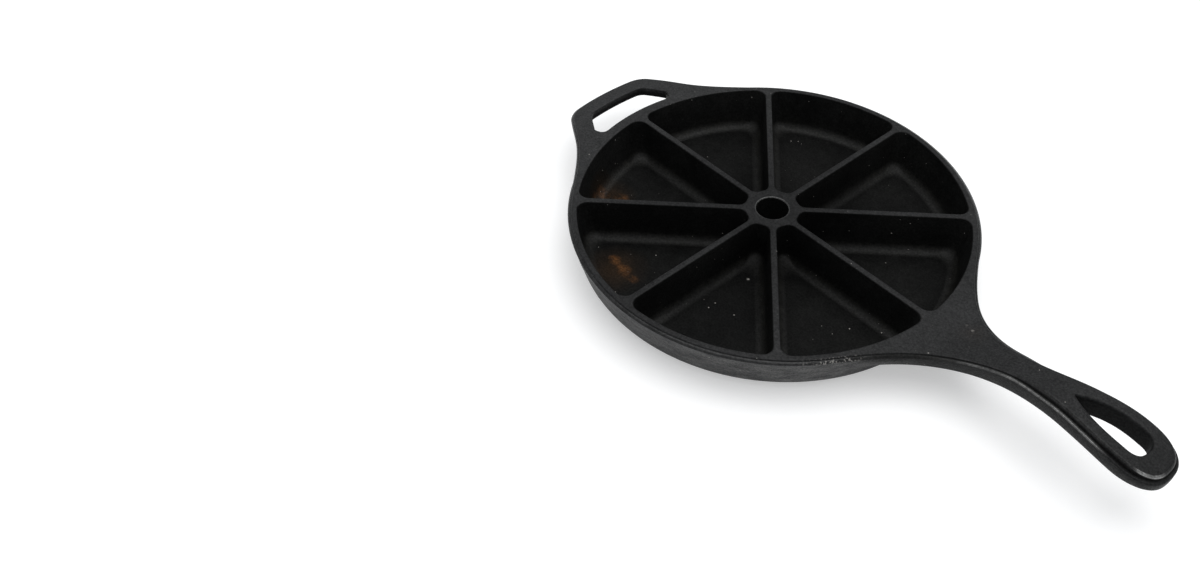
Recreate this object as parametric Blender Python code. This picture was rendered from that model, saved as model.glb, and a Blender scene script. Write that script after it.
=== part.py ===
"""Wedge cornbread skillet: a round iron pan with eight wedge pockets round a bored hub.

The real pan is one iron casting. Here it is parted along thin gaps into the regions that a
moulder would name: the floor, the outer wall with the roots of both handles, the hub, eight
dividers, the long handle and the helper handle. The pan stands on z = 0 with the long handle
towards +X, and the origin is under the middle of its box. Every piece is modelled about the
bowl's axis and hangs from an empty that stands on that axis.
"""
import math

import bmesh
import bpy
from mathutils import Vector

# Driving dimensions of the bowl, in metres
POCKET_RADIUS = 0.1100      # bowl axis to the top edge of a pocket at the wall
RIM_WIDTH = 0.0033          # flat top of the rim
HEIGHT = 0.0282
FLOOR_THICKNESS = 0.0032
WALL_LEAN = math.radians(16.0)
BASE_CORNER = 0.0130        # radius between the wall and the flat base
EDGE_RADIUS = 0.0004        # broken top edges
RIM_BAND = 0.0004           # upright strip between the rim's broken edge and the ledge
LEDGE_RISE = 0.0003         # height of the ledge's gently sloping top
LEDGE_REACH = 0.0020        # the ledge on the parting line stands proud of the rim's edge
POCKETS = 8

# Driving dimensions of the dividers, the hub and the pockets
DIVIDER_WIDTH = 0.0037
DIVIDER_DRAFT = math.radians(3.0)
WALL_DRAFT = math.radians(9.5)
FLOOR_FILLET = 0.0045
WALL_CORNER = 0.0060        # corner of a pocket beside the wall, seen from above
CORNER_GROWTH = 0.0020      # how much rounder that corner is at the floor
HUB_CORNER = 0.0050         # corner of a pocket beside the hub
HUB_RADIUS = 0.0155
BORE_RADIUS = 0.0091

# Driving dimensions of both handles' edges
LOWER_CORNER = 0.0016       # broken corner between a handle's side and its underside
ROOT_FILLET = 0.0045        # from a handle's underside down to the wall

# Driving dimensions of the long handle
NECK_OUT = 0.0572           # rim to the narrowest place
NECK_WIDTH = 0.0147
NECK_FLARE = math.radians(32.4)
NECK_RIM_PULL = 0.0380      # the flare's curve leaves the rim this stiffly
NECK_PULL = 0.0405          # and reaches the neck this stiffly
HANDLE_LENGTH = 0.1320      # rim to tip, without the ledge
HANDLE_WIDTH = 0.0282       # widest, beside the eye
HANDLE_THICKNESS = 0.0105
HANDLE_DRAFT = math.radians(4.0)
BELLY_DEPTH = 0.0014        # the handle is this much thicker along its arch
BELLY_RUN = 0.0500
TIP_THIN = 0.0024           # and this much thinner at its tip
THIN_RUN = 0.0200
PARTING_FALL = 0.0036       # the ledge runs this much lower round the tip
FALL_RUN = 0.0350
SIDE_RUN = 0.0550           # along the neck the sides turn from the wall's lean to this draft
SHOULDER_TO_TIP = 0.0190
TIP_POWER = 2.3             # 2 would be an ellipse
HANDLE_RISE = 0.0128
RISE_RUN = 0.0790
DROOP_RUN = 0.0420          # tip to where the top face bends down again
DROOP_AT_TIP = 0.0072
EYE_LENGTH = 0.0388
EYE_BLUNT = 0.0069          # length of the eye's blunt end
EYE_SIDE = 0.0066           # iron left on each side of the eye
EYE_TO_TIP = 0.0124
EYE_BULGE = 2.85            # how soon the sides open out from the point
EYE_POWER = 3.4
EYE_DRAFT = math.radians(7.0)   # the eye widens towards the underside

# Driving dimensions of the helper handle
HELPER_OUT = 0.0320         # rim to the outer edge of the grip
HELPER_BOW = 0.0015         # the grip's middle stands this much further out than its ends
HELPER_THICKNESS = 0.0062
HELPER_DROOP = 0.0018
HELPER_FLARE = math.radians(41.9)
HELPER_RIM_PULL = 0.0467
HELPER_PULL = 0.0240
HELPER_SLOPE = math.radians(34.3)
HELPER_HALF = 0.0307        # half width where the sides end and the corners start
HELPER_CORNER_LENGTH = 0.0073
HELPER_CORNER_WIDTH = 0.0097
HELPER_CORNER_PULL = 0.0036
SLOT_GRIP = 0.0103          # width of the grip bar
SLOT_OUTER_HALF = 0.0205
SLOT_INNER_HALF = 0.0292
SLOT_WALL = 0.0033          # the rim is this much wider along the slot
SLOT_CORNER = 0.0035
SLOT_PULL = 0.0021
SLOT_END_CORNER = 0.0055    # rounder corners beside the rim
SLOT_END_PULL = 0.0034

# The parting, and how far a cutter reaches past what it cuts
GAP = 0.0003
CUT_CLEARANCE = 0.0008
SPECK = 0.00002             # points closer than this after a cut are one point
STUB = 0.0023               # straight stub of a divider, past the corner of its pockets
NECK_STUB = 0.0068          # rim to the cut through the neck
ARM_STUB = 0.0027           # slot's edge to the cuts through the helper's two arms

# Counts of facets
CORNER_STEPS = 4
FILLET_STEPS = 3
WALL_ARC_STEPS = 6
WALL_STEPS = 4
ROOT_STEPS = 3
RIM_STEPS = 30
FLOOR_TURN_STEPS = 96
HUB_TURN_STEPS = 48
CURVE_STEPS = 40            # fine enough for a smooth curve to be measured along
FLARE_STEPS = 8
ARM_STEPS = 6
NECK_STEPS = 5
SHOULDER_STEPS = 8
TIP_STEPS = 7

# Finish of seasoned iron
RIM_SHADE = 0.050
POCKET_SHADE = 0.020
RIM_ROUGHNESS = 0.45
POCKET_ROUGHNESS = 0.60
METALLIC = 0.35
SHARP_ANGLE = math.radians(35)

# Values that follow
SECTOR = 2 * math.pi / POCKETS
POCKET_DEPTH = HEIGHT - FLOOR_THICKNESS
RIM_RADIUS = POCKET_RADIUS + RIM_WIDTH
LEDGE_DROP = EDGE_RADIUS + RIM_BAND + LEDGE_RISE
LEDGE_Z = HEIGHT - LEDGE_DROP
WALL_SLOPE = math.tan(WALL_LEAN)
BASE_RADIUS = RIM_RADIUS + LEDGE_REACH - WALL_SLOPE * LEDGE_Z
JOINT_Z = FLOOR_THICKNESS + GAP
TIP_X = RIM_RADIUS + HANDLE_LENGTH
NECK_X = RIM_RADIUS + NECK_OUT
NECK_JOINT_X = RIM_RADIUS + NECK_STUB
SHOULDER_X = TIP_X - SHOULDER_TO_TIP
EYE_HALF = HANDLE_WIDTH / 2 - EYE_SIDE
EYE_END_X = TIP_X - EYE_TO_TIP
EYE_START_X = EYE_END_X - EYE_LENGTH
SLOT_RADIUS = RIM_RADIUS + SLOT_WALL
ARM_JOINT_X = SLOT_RADIUS + ARM_STUB
HELPER_X = RIM_RADIUS + HELPER_OUT
GRIP_HALF = HELPER_HALF - HELPER_CORNER_WIDTH
BOWL_X = (HELPER_X - TIP_X) / 2     # puts the middle of the whole length over the origin


def polar(radius, angle):
    """Point at a distance and an angle from the bowl's axis."""
    return Vector((radius * math.cos(angle), radius * math.sin(angle)))


def at_height(point, z):
    """A point of the plan, lifted to a height."""
    return Vector((point.x, point.y, z))


def mirrored(point):
    """The same point on the other side of the long handle's line."""
    return Vector((point.x, -point.y))


def share(count):
    """Even steps from 0 to 1, both ends included."""
    return [i / count for i in range(count + 1)]


def arc(centre, radius, start, end, count):
    """Points along an arc."""
    return [centre + polar(radius, start + (end - start) * t) for t in share(count)]


def curve_between(p0, out0, pull0, p1, in1, pull1, count):
    """Points of a cubic curve that leaves p0 along out0 and reaches p1 along in1."""
    a = p0 + out0 * pull0
    b = p1 - in1 * pull1
    return [p0 * (1 - t) ** 3 + a * 3 * t * (1 - t) ** 2 + b * 3 * t * t * (1 - t) + p1 * t ** 3
            for t in share(count)]


def smooth_step(t):
    """0 to 1 with level ends."""
    t = min(max(t, 0.0), 1.0)
    return t * t * (3 - 2 * t)


def split_at(points, x):
    """Part an outline at a station x: the points before it, and those after it."""
    for i, (p, q) in enumerate(zip(points, points[1:])):
        if p.x < x <= q.x:
            there = p.lerp(q, (x - p.x) / (q.x - p.x))
            return points[:i + 1] + [there], [there] + points[i + 1:]
    raise ValueError("the station lies outside the outline")


def resample(points, count):
    """The same outline in evenly long steps."""
    lengths = [0.0]
    for p, q in zip(points, points[1:]):
        lengths.append(lengths[-1] + (q - p).length)
    even = [points[0]]
    i = 0
    for t in share(count)[1:-1]:
        want = t * lengths[-1]
        while lengths[i + 1] < want:
            i += 1
        even.append(points[i].lerp(points[i + 1], (want - lengths[i]) / (lengths[i + 1] - lengths[i])))
    return even + [points[-1]]


def normals(points):
    """Left-hand normal at each point of an outline."""
    last = len(points) - 1
    found = []
    for i in range(len(points)):
        along = (points[min(i + 1, last)] - points[max(i - 1, 0)]).normalized()
        found.append(Vector((-along.y, along.x)))
    return found


def slide_along_cut(normal):
    """A normal turned into the plane of a cut across X, so that an offset stays in the cut."""
    return Vector((0.0, 1.0 / normal.y))


def wall_radius(z):
    """Outer radius of the bowl's wall at a height, with the rounded corner of its base."""
    reach = BASE_CORNER * math.tan((math.pi / 2 - WALL_LEAN) / 2)
    if z >= reach * math.cos(WALL_LEAN):
        return BASE_RADIUS + WALL_SLOPE * z
    return BASE_RADIUS - reach + math.sqrt(BASE_CORNER ** 2 - (BASE_CORNER - z) ** 2)


def edge_levels(thickness, slope=WALL_SLOPE, fall=0.0):
    """The edge of the rim and of both handles: steps out of the top outline, and steps down."""
    side = thickness - LEDGE_DROP - fall - LOWER_CORNER
    low = LEDGE_REACH - slope * side
    return [(-EDGE_RADIUS, 0.0),
            (0.0, EDGE_RADIUS),
            (0.0, EDGE_RADIUS + RIM_BAND + fall),
            (LEDGE_REACH, LEDGE_DROP + fall),
            (low, thickness - LOWER_CORNER),
            (low - LOWER_CORNER, thickness)]


def upright_levels(thickness, edge=0.0):
    """The same steps down on an upright face, with its top edge broken or not."""
    drops = [drop for _, drop in edge_levels(thickness)]
    return [(-edge, drops[0])] + [(0.0, drop) for drop in drops[1:]]


def iron(name, shade, roughness):
    """Seasoned cast iron."""
    material = bpy.data.materials.new(name)
    material.use_nodes = True
    shader = material.node_tree.nodes["Principled BSDF"]
    shader.inputs["Base Color"].default_value = (shade, shade, shade, 1.0)
    shader.inputs["Roughness"].default_value = roughness
    shader.inputs["Metallic"].default_value = METALLIC
    return material


def new_object(name, bm, axis, shade=RIM_SHADE, roughness=RIM_ROUGHNESS):
    """Put a finished bmesh into the scene under the node's name, on the bowl's axis."""
    bmesh.ops.triangulate(bm, faces=[f for f in bm.faces if len(f.verts) > 4])
    bmesh.ops.recalc_face_normals(bm, faces=bm.faces)
    mesh = bpy.data.meshes.new(name)
    bm.to_mesh(mesh)
    bm.free()
    mesh.shade_smooth()
    mesh.set_sharp_from_angle(angle=SHARP_ANGLE)
    mesh.materials.append(iron(name + "_iron", shade, roughness))
    obj = bpy.data.objects.new(name, mesh)
    obj.parent = axis
    bpy.context.collection.objects.link(obj)
    return obj


def skin(bm, rows, close_rows=False, close_columns=True):
    """Quads between rows of points; returns the rows of vertices."""
    made = [[bm.verts.new(p) for p in row] for row in rows]
    pairs = list(zip(made, made[1:]))
    if close_rows:
        pairs.append((made[-1], made[0]))
    for low, high in pairs:
        count = len(low)
        for i in range(count if close_columns else count - 1):
            j = (i + 1) % count
            bm.faces.new((low[i], low[j], high[j], high[i]))
    return made


def turned(bm, profile, steps):
    """Spin a closed profile of (radius, height) points about the bowl's axis."""
    start = polar(1.0, math.pi / steps)     # half a step, so that no seam meets a cutter's corner
    verts = [bm.verts.new(at_height(start * radius, z)) for radius, z in profile]
    edges = [bm.edges.new((a, b)) for a, b in zip(verts, verts[1:] + verts[:1])]
    bmesh.ops.spin(bm, geom=verts + edges, cent=(0, 0, 0), axis=(0, 0, 1),
                   angle=2 * math.pi, steps=steps, use_merge=True)


def cut(obj, cutter):
    """Cut an object with an exact Boolean, and merge the specks that it leaves."""
    step = obj.modifiers.new(cutter.name, "BOOLEAN")
    step.operation = "DIFFERENCE"
    step.solver = "EXACT"
    step.object = cutter
    weld = obj.modifiers.new("specks", "WELD")
    weld.merge_threshold = SPECK


def pocket_corners(divider_inset, wall_inset, growth):
    """Where a pocket's two rounded corners lie: distance, angle and radius of each centre."""
    beside = DIVIDER_WIDTH / 2 + divider_inset
    near = max(HUB_RADIUS + divider_inset + HUB_CORNER,
               (beside + HUB_CORNER) / math.sin(SECTOR / 2))
    near_angle = SECTOR / 2 - math.asin((beside + HUB_CORNER) / near)
    wall_corner = WALL_CORNER + growth
    far = POCKET_RADIUS - wall_inset - wall_corner
    far_angle = SECTOR / 2 - math.asin((beside + wall_corner) / far)
    return (near, near_angle, HUB_CORNER), (far, far_angle, wall_corner)


def pocket_outline(divider_inset, wall_inset, growth):
    """Outline of one pocket about +X: hub arc, hub corner, divider, wall corner, wall arc."""
    (near, near_angle, hub_corner), (far, far_angle, wall_corner) = pocket_corners(
        divider_inset, wall_inset, growth)
    square = SECTOR / 2 + math.pi / 2
    upper = [polar(near - hub_corner, near_angle * t) for t in (0.0, 0.5)]
    upper += arc(polar(near, near_angle), hub_corner, near_angle + math.pi, square, CORNER_STEPS)
    upper += arc(polar(far, far_angle), wall_corner, square, far_angle, CORNER_STEPS)
    upper += [polar(far + wall_corner, far_angle * (1 - t)) for t in share(WALL_ARC_STEPS)[1:]]
    return upper + [mirrored(p) for p in reversed(upper[1:-1])]


def pocket_levels():
    """Height, the two insets and the corner's growth, from above the mouth to the floor."""
    mouth = EDGE_RADIUS + CUT_CLEARANCE
    levels = [(HEIGHT + CUT_CLEARANCE, -mouth, -mouth, 0.0),
              (HEIGHT - EDGE_RADIUS, 0.0, 0.0, 0.0)]
    start = max(DIVIDER_DRAFT, WALL_DRAFT)
    straight = POCKET_DEPTH - FLOOR_FILLET * (1 - math.sin(start))
    for t in share(FILLET_STEPS):
        angle = start + (math.pi / 2 - start) * t
        z = FLOOR_THICKNESS + FLOOR_FILLET * (1 - math.sin(angle))
        swing = FLOOR_FILLET * (math.cos(start) - math.cos(angle))
        levels.append((z, straight * math.tan(DIVIDER_DRAFT) + swing,
                       straight * math.tan(WALL_DRAFT) + swing,
                       CORNER_GROWTH * (HEIGHT - z) / POCKET_DEPTH))
    return levels


def divider_ends():
    """Radii where the dividers are parted from the hub's stubs and from the wall's stubs."""
    _, divider_inset, wall_inset, growth = pocket_levels()[-1]
    near, far = pocket_corners(divider_inset, wall_inset, growth)
    ends = [distance * math.cos(SECTOR / 2 - angle) for distance, angle, _ in (near, far)]
    return ends[0] + STUB, ends[1] - STUB


def pocket_plugs(axis):
    """Eight plugs, each the hollow of one pocket, that cut the wall, hub and dividers."""
    bm = bmesh.new()
    for k in range(POCKETS):
        turn = (k + 0.5) * SECTOR
        rows = []
        for z, divider_inset, wall_inset, growth in pocket_levels():
            outline = pocket_outline(divider_inset, wall_inset, growth)
            rows.append([at_height(polar(p.length, math.atan2(p.y, p.x) + turn), z)
                         for p in outline])
        made = skin(bm, rows)
        bm.faces.new(made[0])
        bm.faces.new(made[-1])
    bmesh.ops.remove_doubles(bm, verts=bm.verts, dist=SPECK)
    plugs = new_object("pocket_plugs", bm, axis)
    plugs.hide_render = True
    plugs.display_type = "WIRE"
    return plugs


def neck_flare():
    """The +Y side of the neck, from the rim out to its narrowest place."""
    tangent = Vector((math.sin(NECK_FLARE), -math.cos(NECK_FLARE)))
    return curve_between(polar(RIM_RADIUS, NECK_FLARE), tangent, NECK_RIM_PULL,
                         Vector((NECK_X, NECK_WIDTH / 2)), Vector((1.0, 0.0)), NECK_PULL,
                         CURVE_STEPS)


def arm_direction():
    """Which way the helper's sides run as they reach its corners."""
    return Vector((math.cos(HELPER_SLOPE), -math.sin(HELPER_SLOPE)))


def helper_flare():
    """The +Y side of the helper's arm, drawn as if the helper were on +X."""
    tangent = Vector((math.sin(HELPER_FLARE), -math.cos(HELPER_FLARE)))
    end = Vector((HELPER_X - HELPER_CORNER_LENGTH, HELPER_HALF))
    return curve_between(polar(RIM_RADIUS, HELPER_FLARE), tangent, HELPER_RIM_PULL, end,
                         arm_direction(), HELPER_PULL, CURVE_STEPS)


def slot_root():
    """The slot's edge on the bowl's side: from the cut through the arm to the middle."""
    start = Vector((ARM_JOINT_X, SLOT_INNER_HALF))
    angle = math.atan2(start.y, start.x) - SLOT_END_CORNER / SLOT_RADIUS
    clockwise = Vector((math.sin(angle), -math.cos(angle)))
    corner = curve_between(start, -start.normalized(), SLOT_END_CORNER,
                           polar(SLOT_RADIUS, angle), clockwise, SLOT_END_PULL, CORNER_STEPS)
    return corner + [polar(SLOT_RADIUS, angle * (1 - t)) for t in share(FLARE_STEPS)[1:]]


def flare_columns(flare, joint_x, thickness, count):
    """Wall columns along a flare that ends on a cut: point, normal and levels of each."""
    points = resample(split_at(flare, joint_x)[0], count)
    square = normals(points)
    square[-1] = slide_along_cut(square[-1])
    return [(p, n, edge_levels(thickness)) for p, n in zip(points, square)]


def wall_columns():
    """Columns of the outer wall from the middle of the neck round to the helper's middle."""
    neck = flare_columns(neck_flare(), NECK_JOINT_X, HANDLE_THICKNESS, FLARE_STEPS)
    edge_y = neck[-1][0].y
    ahead = Vector((1.0, 0.0))
    columns = [(Vector((NECK_JOINT_X, edge_y * t)), ahead, upright_levels(HANDLE_THICKNESS))
               for t in (0.0, 0.5)]
    columns += reversed(neck)

    sweep = math.pi - HELPER_FLARE - NECK_FLARE
    for t in share(RIM_STEPS)[1:-1]:
        out = polar(1.0, NECK_FLARE + sweep * t)
        thickness = HANDLE_THICKNESS + (HELPER_THICKNESS - HANDLE_THICKNESS) * t
        columns.append((out * RIM_RADIUS, out, edge_levels(thickness)))

    side = flare_columns(helper_flare(), ARM_JOINT_X, HELPER_THICKNESS, ARM_STEPS)
    slot = slot_root()
    middle = Vector((ARM_JOINT_X, (side[-1][0].y + slot[0].y) / 2))
    side += [(p, ahead, upright_levels(HELPER_THICKNESS)) for p in (middle, slot[0])]
    side += [(p, p.normalized(), upright_levels(HELPER_THICKNESS, EDGE_RADIUS))
             for p in slot[1:]]
    columns += [(Vector((-p.x, p.y)), Vector((-n.x, n.y)), levels) for p, n, levels in side]
    return columns


def wall_section(point, normal, levels):
    """One column of the outer wall, from the top inner edge round to the bottom inner edge."""
    out = point.normalized()
    inner = divider_ends()[1]
    section = [at_height(out * inner, HEIGHT)]
    for reach, drop in levels:
        z = HEIGHT - drop
        place = point + normal * reach
        place.x = min(max(place.x, -ARM_JOINT_X), NECK_JOINT_X)
        wall = wall_radius(z)
        if place.length < wall and drop > LEDGE_DROP:
            place = place.normalized() * wall
        section.append(at_height(place, z))
    under_z = HEIGHT - levels[-1][1]
    reach = section[-1].to_2d().length
    for t in share(ROOT_STEPS)[1:]:
        angle = t * math.pi / 2
        z = under_z - ROOT_FILLET * (1 - math.cos(angle))
        wall = wall_radius(z)
        section.append(at_height(out * (wall + max(0.0, reach - wall) * (1 - math.sin(angle))), z))
    clear = under_z - ROOT_FILLET - JOINT_Z
    for t in share(WALL_STEPS)[1:]:
        z = JOINT_Z + clear * (1 - t) ** 2
        section.append(at_height(out * wall_radius(z), z))
    section.append(at_height(out * inner, JOINT_Z))
    return section


def outer_wall(axis, plugs):
    """The ring of the wall with the roots of both handles and the dividers' ends."""
    half = [wall_section(*column) for column in wall_columns()]
    other = [[Vector((p.x, -p.y, p.z)) for p in section] for section in reversed(half[1:-1])]
    bm = bmesh.new()
    skin(bm, half + other, close_rows=True)
    cut(new_object("outer_wall", bm, axis), plugs)


def pan_floor(axis):
    """The flat disc under the pockets, with the lower part of the base's rounded corner."""
    flat = BASE_RADIUS - BASE_CORNER * math.tan((math.pi / 2 - WALL_LEAN) / 2)
    heights = [FLOOR_THICKNESS * t * t for t in share(CORNER_STEPS)[1:]]
    profile = [(BORE_RADIUS, 0.0), (flat, 0.0)] + [(wall_radius(z), z) for z in heights]
    bm = bmesh.new()
    turned(bm, profile + [(BORE_RADIUS, FLOOR_THICKNESS)], FLOOR_TURN_STEPS)
    new_object("pan_floor", bm, axis, POCKET_SHADE, POCKET_ROUGHNESS)


def hub(axis, plugs):
    """The bored boss where the dividers meet, with the stub of each divider."""
    outer = divider_ends()[0]
    bm = bmesh.new()
    turned(bm, [(BORE_RADIUS, JOINT_Z), (outer, JOINT_Z), (outer, HEIGHT),
                (BORE_RADIUS + EDGE_RADIUS, HEIGHT), (BORE_RADIUS, HEIGHT - EDGE_RADIUS)],
           HUB_TURN_STEPS)
    cut(new_object("hub", bm, axis), plugs)


def divider(number, axis, plugs):
    """One divider: a bar between the hub's and the wall's stubs, cut by its two pockets."""
    inner, outer = divider_ends()
    half = DIVIDER_WIDTH / 2 + pocket_levels()[-1][1] + CUT_CLEARANCE
    plan = [Vector((x, y)) for x, y in ((inner + GAP, -half), (outer - GAP, -half),
                                        (outer - GAP, half), (inner + GAP, half))]
    bm = bmesh.new()
    low, high = skin(bm, [[at_height(p, z) for p in plan] for z in (JOINT_Z, HEIGHT)])
    bm.faces.new(low)
    bm.faces.new(high)
    bar = new_object("divider_%d" % number, bm, axis)
    bar.rotation_euler.z = (number - 1) * SECTOR
    cut(bar, plugs)


def handle_half_width(x):
    """Half the width of the long handle's top face beyond its neck."""
    if x <= SHOULDER_X:
        step = smooth_step((x - NECK_X) / (SHOULDER_X - NECK_X))
        return (NECK_WIDTH + (HANDLE_WIDTH - NECK_WIDTH) * step) / 2
    t = min(1.0, (x - SHOULDER_X) / SHOULDER_TO_TIP)
    return HANDLE_WIDTH / 2 * (1 - t ** TIP_POWER) ** (1 / TIP_POWER)


def handle_top(x):
    """Height of the long handle's top face: it climbs from the stub and droops to its tip."""
    climb = HANDLE_RISE * smooth_step((x - NECK_JOINT_X) / RISE_RUN)
    past = max(0.0, (x - TIP_X) / DROOP_RUN + 1.0)
    return HEIGHT + climb - DROOP_AT_TIP * past * past


def side_slope(x):
    """Lean of the long handle's side: the wall's before the neck, the handle's draft past it."""
    turn = smooth_step((x - NECK_X) / SIDE_RUN + 0.5)
    return WALL_SLOPE + (math.tan(HANDLE_DRAFT) - WALL_SLOPE) * turn


def handle_outline():
    """The +Y side of the handle from the cut through the neck to the tip."""
    outline = resample(split_at(neck_flare(), NECK_JOINT_X + GAP)[1], NECK_STEPS)
    stations = [NECK_X + (SHOULDER_X - NECK_X) * t for t in share(SHOULDER_STEPS)[1:]]
    stations += [SHOULDER_X + SHOULDER_TO_TIP * math.sin(math.pi / 2 * t)
                 for t in share(TIP_STEPS)[1:]]
    return outline + [Vector((x, handle_half_width(x))) for x in stations]


def handle_depth(x):
    """Thickness of the long handle: a belly along its arch, and a thin tip."""
    belly = smooth_step((x - NECK_JOINT_X) / BELLY_RUN) * (1 - smooth_step((x - NECK_X) / BELLY_RUN))
    thin = smooth_step((x - TIP_X) / THIN_RUN + 1.0)
    return HANDLE_THICKNESS + BELLY_DEPTH * belly - TIP_THIN * thin


def handle_levels(x):
    """The common edge at a station of the long handle, with its own depth, side and ledge."""
    fall = PARTING_FALL * smooth_step((x - TIP_X) / FALL_RUN + 1.0)
    return edge_levels(handle_depth(x), side_slope(x), fall)


def eye_edge(count):
    """The +Y side of the teardrop eye: a bulging side from its point, then its blunt end."""
    length = EYE_LENGTH - EYE_BLUNT
    side = [Vector((EYE_START_X + length * t, EYE_HALF * (1 - (1 - t) ** EYE_BULGE)))
            for t in share(CURVE_STEPS)]
    turns = [math.pi / 2 * t for t in share(CURVE_STEPS)[1:-1]]
    end = [Vector((side[-1].x + EYE_BLUNT * math.sin(a) ** (2 / EYE_POWER),
                   EYE_HALF * math.cos(a) ** (2 / EYE_POWER))) for a in turns]
    return resample(side + end + [Vector((EYE_END_X, 0.0))], count)


def long_handle(axis):
    """The long handle: the rim's edge carried round its outline, and the eye through it."""
    joint = NECK_JOINT_X + GAP
    outline = handle_outline()
    out = normals(outline)
    out[0] = slide_along_cut(out[0])
    out[-1] = Vector((1.0, 0.0))

    first = next(i for i, p in enumerate(outline) if p.x >= EYE_START_X)
    eye = eye_edge(len(outline) - first - 1)
    eye_out = normals(eye)
    eye_out[0] = Vector((-1.0, 0.0))
    eye_out[-1] = Vector((1.0, 0.0))

    def middle(grow):
        """The handle's middle line up to the eye, and the eye's edge grown outwards."""
        edge = [p + n * grow for p, n in zip(eye, eye_out)]
        shrink = (edge[0].x - joint) / (outline[first].x - joint)
        return [Vector((joint + (p.x - joint) * shrink, 0.0)) for p in outline[:first]] + edge

    def level(points, drops):
        """A line of points and its mirror image, each let down from the handle's top."""
        half = [at_height(p, handle_top(p.x) - drop) for p, drop in zip(points, drops)]
        return half + [Vector((p.x, -p.y, p.z)) for p in reversed(half[:-1])]

    steps = [handle_levels(p.x) for p in outline]
    edge = [level([Vector((max(p.x + n.x * reach, joint), p.y + n.y * reach))
                   for p, n, (reach, _) in zip(outline, out, row)], [drop for _, drop in row])
            for row in zip(*steps)]
    upper, mouth = middle(EDGE_RADIUS), middle(0.0)
    lower = middle(HANDLE_THICKNESS * math.tan(EYE_DRAFT))
    bm = bmesh.new()
    rows = skin(bm, [level(upper, [0.0] * len(upper))] + edge
                + [level(lower, [handle_depth(p.x) for p in lower])], close_columns=False)
    mouth = [bm.verts.new(p) for p in level(mouth, [EDGE_RADIUS] * len(mouth))]
    for low, high in ((rows[-1], mouth), (mouth, rows[0])):
        for i in range(first, len(mouth) - 1 - first):
            bm.faces.new((low[i], low[i + 1], high[i + 1], high[i]))
    bmesh.ops.delete(bm, geom=[v for v in bm.verts if not v.link_faces], context="VERTS")
    bmesh.ops.remove_doubles(bm, verts=bm.verts, dist=SPECK)
    bmesh.ops.contextual_create(bm, geom=[e for e in bm.edges if e.is_boundary])
    new_object("long_handle", bm, axis)


def grip_line(middle_x, y):
    """A point on the grip's bowed edge, and the way along it towards the middle."""
    bend = HELPER_BOW * y / GRIP_HALF ** 2
    return Vector((middle_x - bend * y, y)), Vector((2 * bend, -1.0)).normalized()


def helper_outline():
    """Outer and inner edge of the helper's +Y half, from its cut to the grip's middle."""
    joint = ARM_JOINT_X + GAP
    side = resample(split_at(helper_flare(), joint)[1], ARM_STEPS)
    end, along_grip = grip_line(HELPER_X, GRIP_HALF)
    corner = curve_between(side[-1], arm_direction(), HELPER_CORNER_PULL, end, along_grip,
                           HELPER_CORNER_PULL, CORNER_STEPS)
    outer = side + corner[1:] + [grip_line(HELPER_X, GRIP_HALF * t)[0] for t in (0.67, 0.33, 0.0)]

    slot_x = HELPER_X - SLOT_GRIP
    start = Vector((joint, SLOT_INNER_HALF))
    apex = grip_line(slot_x, SLOT_OUTER_HALF)[0]
    along = (apex - start).normalized()
    last_y = SLOT_OUTER_HALF - SLOT_CORNER
    last, along_slot = grip_line(slot_x, last_y)
    bend = curve_between(apex - along * SLOT_CORNER, along, SLOT_PULL, last, along_slot,
                         SLOT_PULL, CORNER_STEPS)
    return outer, [start] + bend + [grip_line(slot_x, last_y * t)[0] for t in (0.5, 0.0)]


def helper_handle(axis):
    """The helper: an open loop with a grip bar and two arms, the rim's edge all round it."""
    joint = ARM_JOINT_X + GAP
    rows = [[] for _ in edge_levels(HELPER_THICKNESS)]
    outer, inner = helper_outline()
    for points, levels in ((outer, edge_levels(HELPER_THICKNESS)),
                           (inner, upright_levels(HELPER_THICKNESS, -EDGE_RADIUS))):
        square = normals(points)
        square[0] = slide_along_cut(square[0])
        square[-1] = Vector((1.0, 0.0))
        for row, (reach, drop) in zip(rows, levels):
            half = [p + n * reach for p, n in zip(points, square)]
            whole = half + [mirrored(p) for p in reversed(half[:-1])]
            if row:
                whole.reverse()
            for p in whole:
                droop = HELPER_DROOP * (p.x - joint) / (HELPER_X - joint)
                row.append(Vector((-max(p.x, joint), p.y, HEIGHT - droop - drop)))
    bm = bmesh.new()
    made = skin(bm, rows)
    bm.faces.new(made[0])
    bm.faces.new(made[-1])
    new_object("helper_handle", bm, axis)


def main():
    """Clear the scene and build every node."""
    for obj in list(bpy.data.objects):
        bpy.data.objects.remove(obj)
    axis = bpy.data.objects.new("bowl_axis", None)
    axis.location.x = BOWL_X
    bpy.context.collection.objects.link(axis)

    plugs = pocket_plugs(axis)
    pan_floor(axis)
    outer_wall(axis, plugs)
    hub(axis, plugs)
    for number in range(1, POCKETS + 1):
        divider(number, axis, plugs)
    long_handle(axis)
    helper_handle(axis)


main()
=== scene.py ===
# %% [markdown]
# # A wedge cornbread skillet in seasoned iron
# The pan is one iron casting: eight wedge pockets round a bored hub, a long arched handle and
# a helper loop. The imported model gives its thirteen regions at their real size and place. This
# script makes a fine skin for each region and gives the skins their finish. The load comes
# first, because every size below is worked out from the frame.

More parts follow.
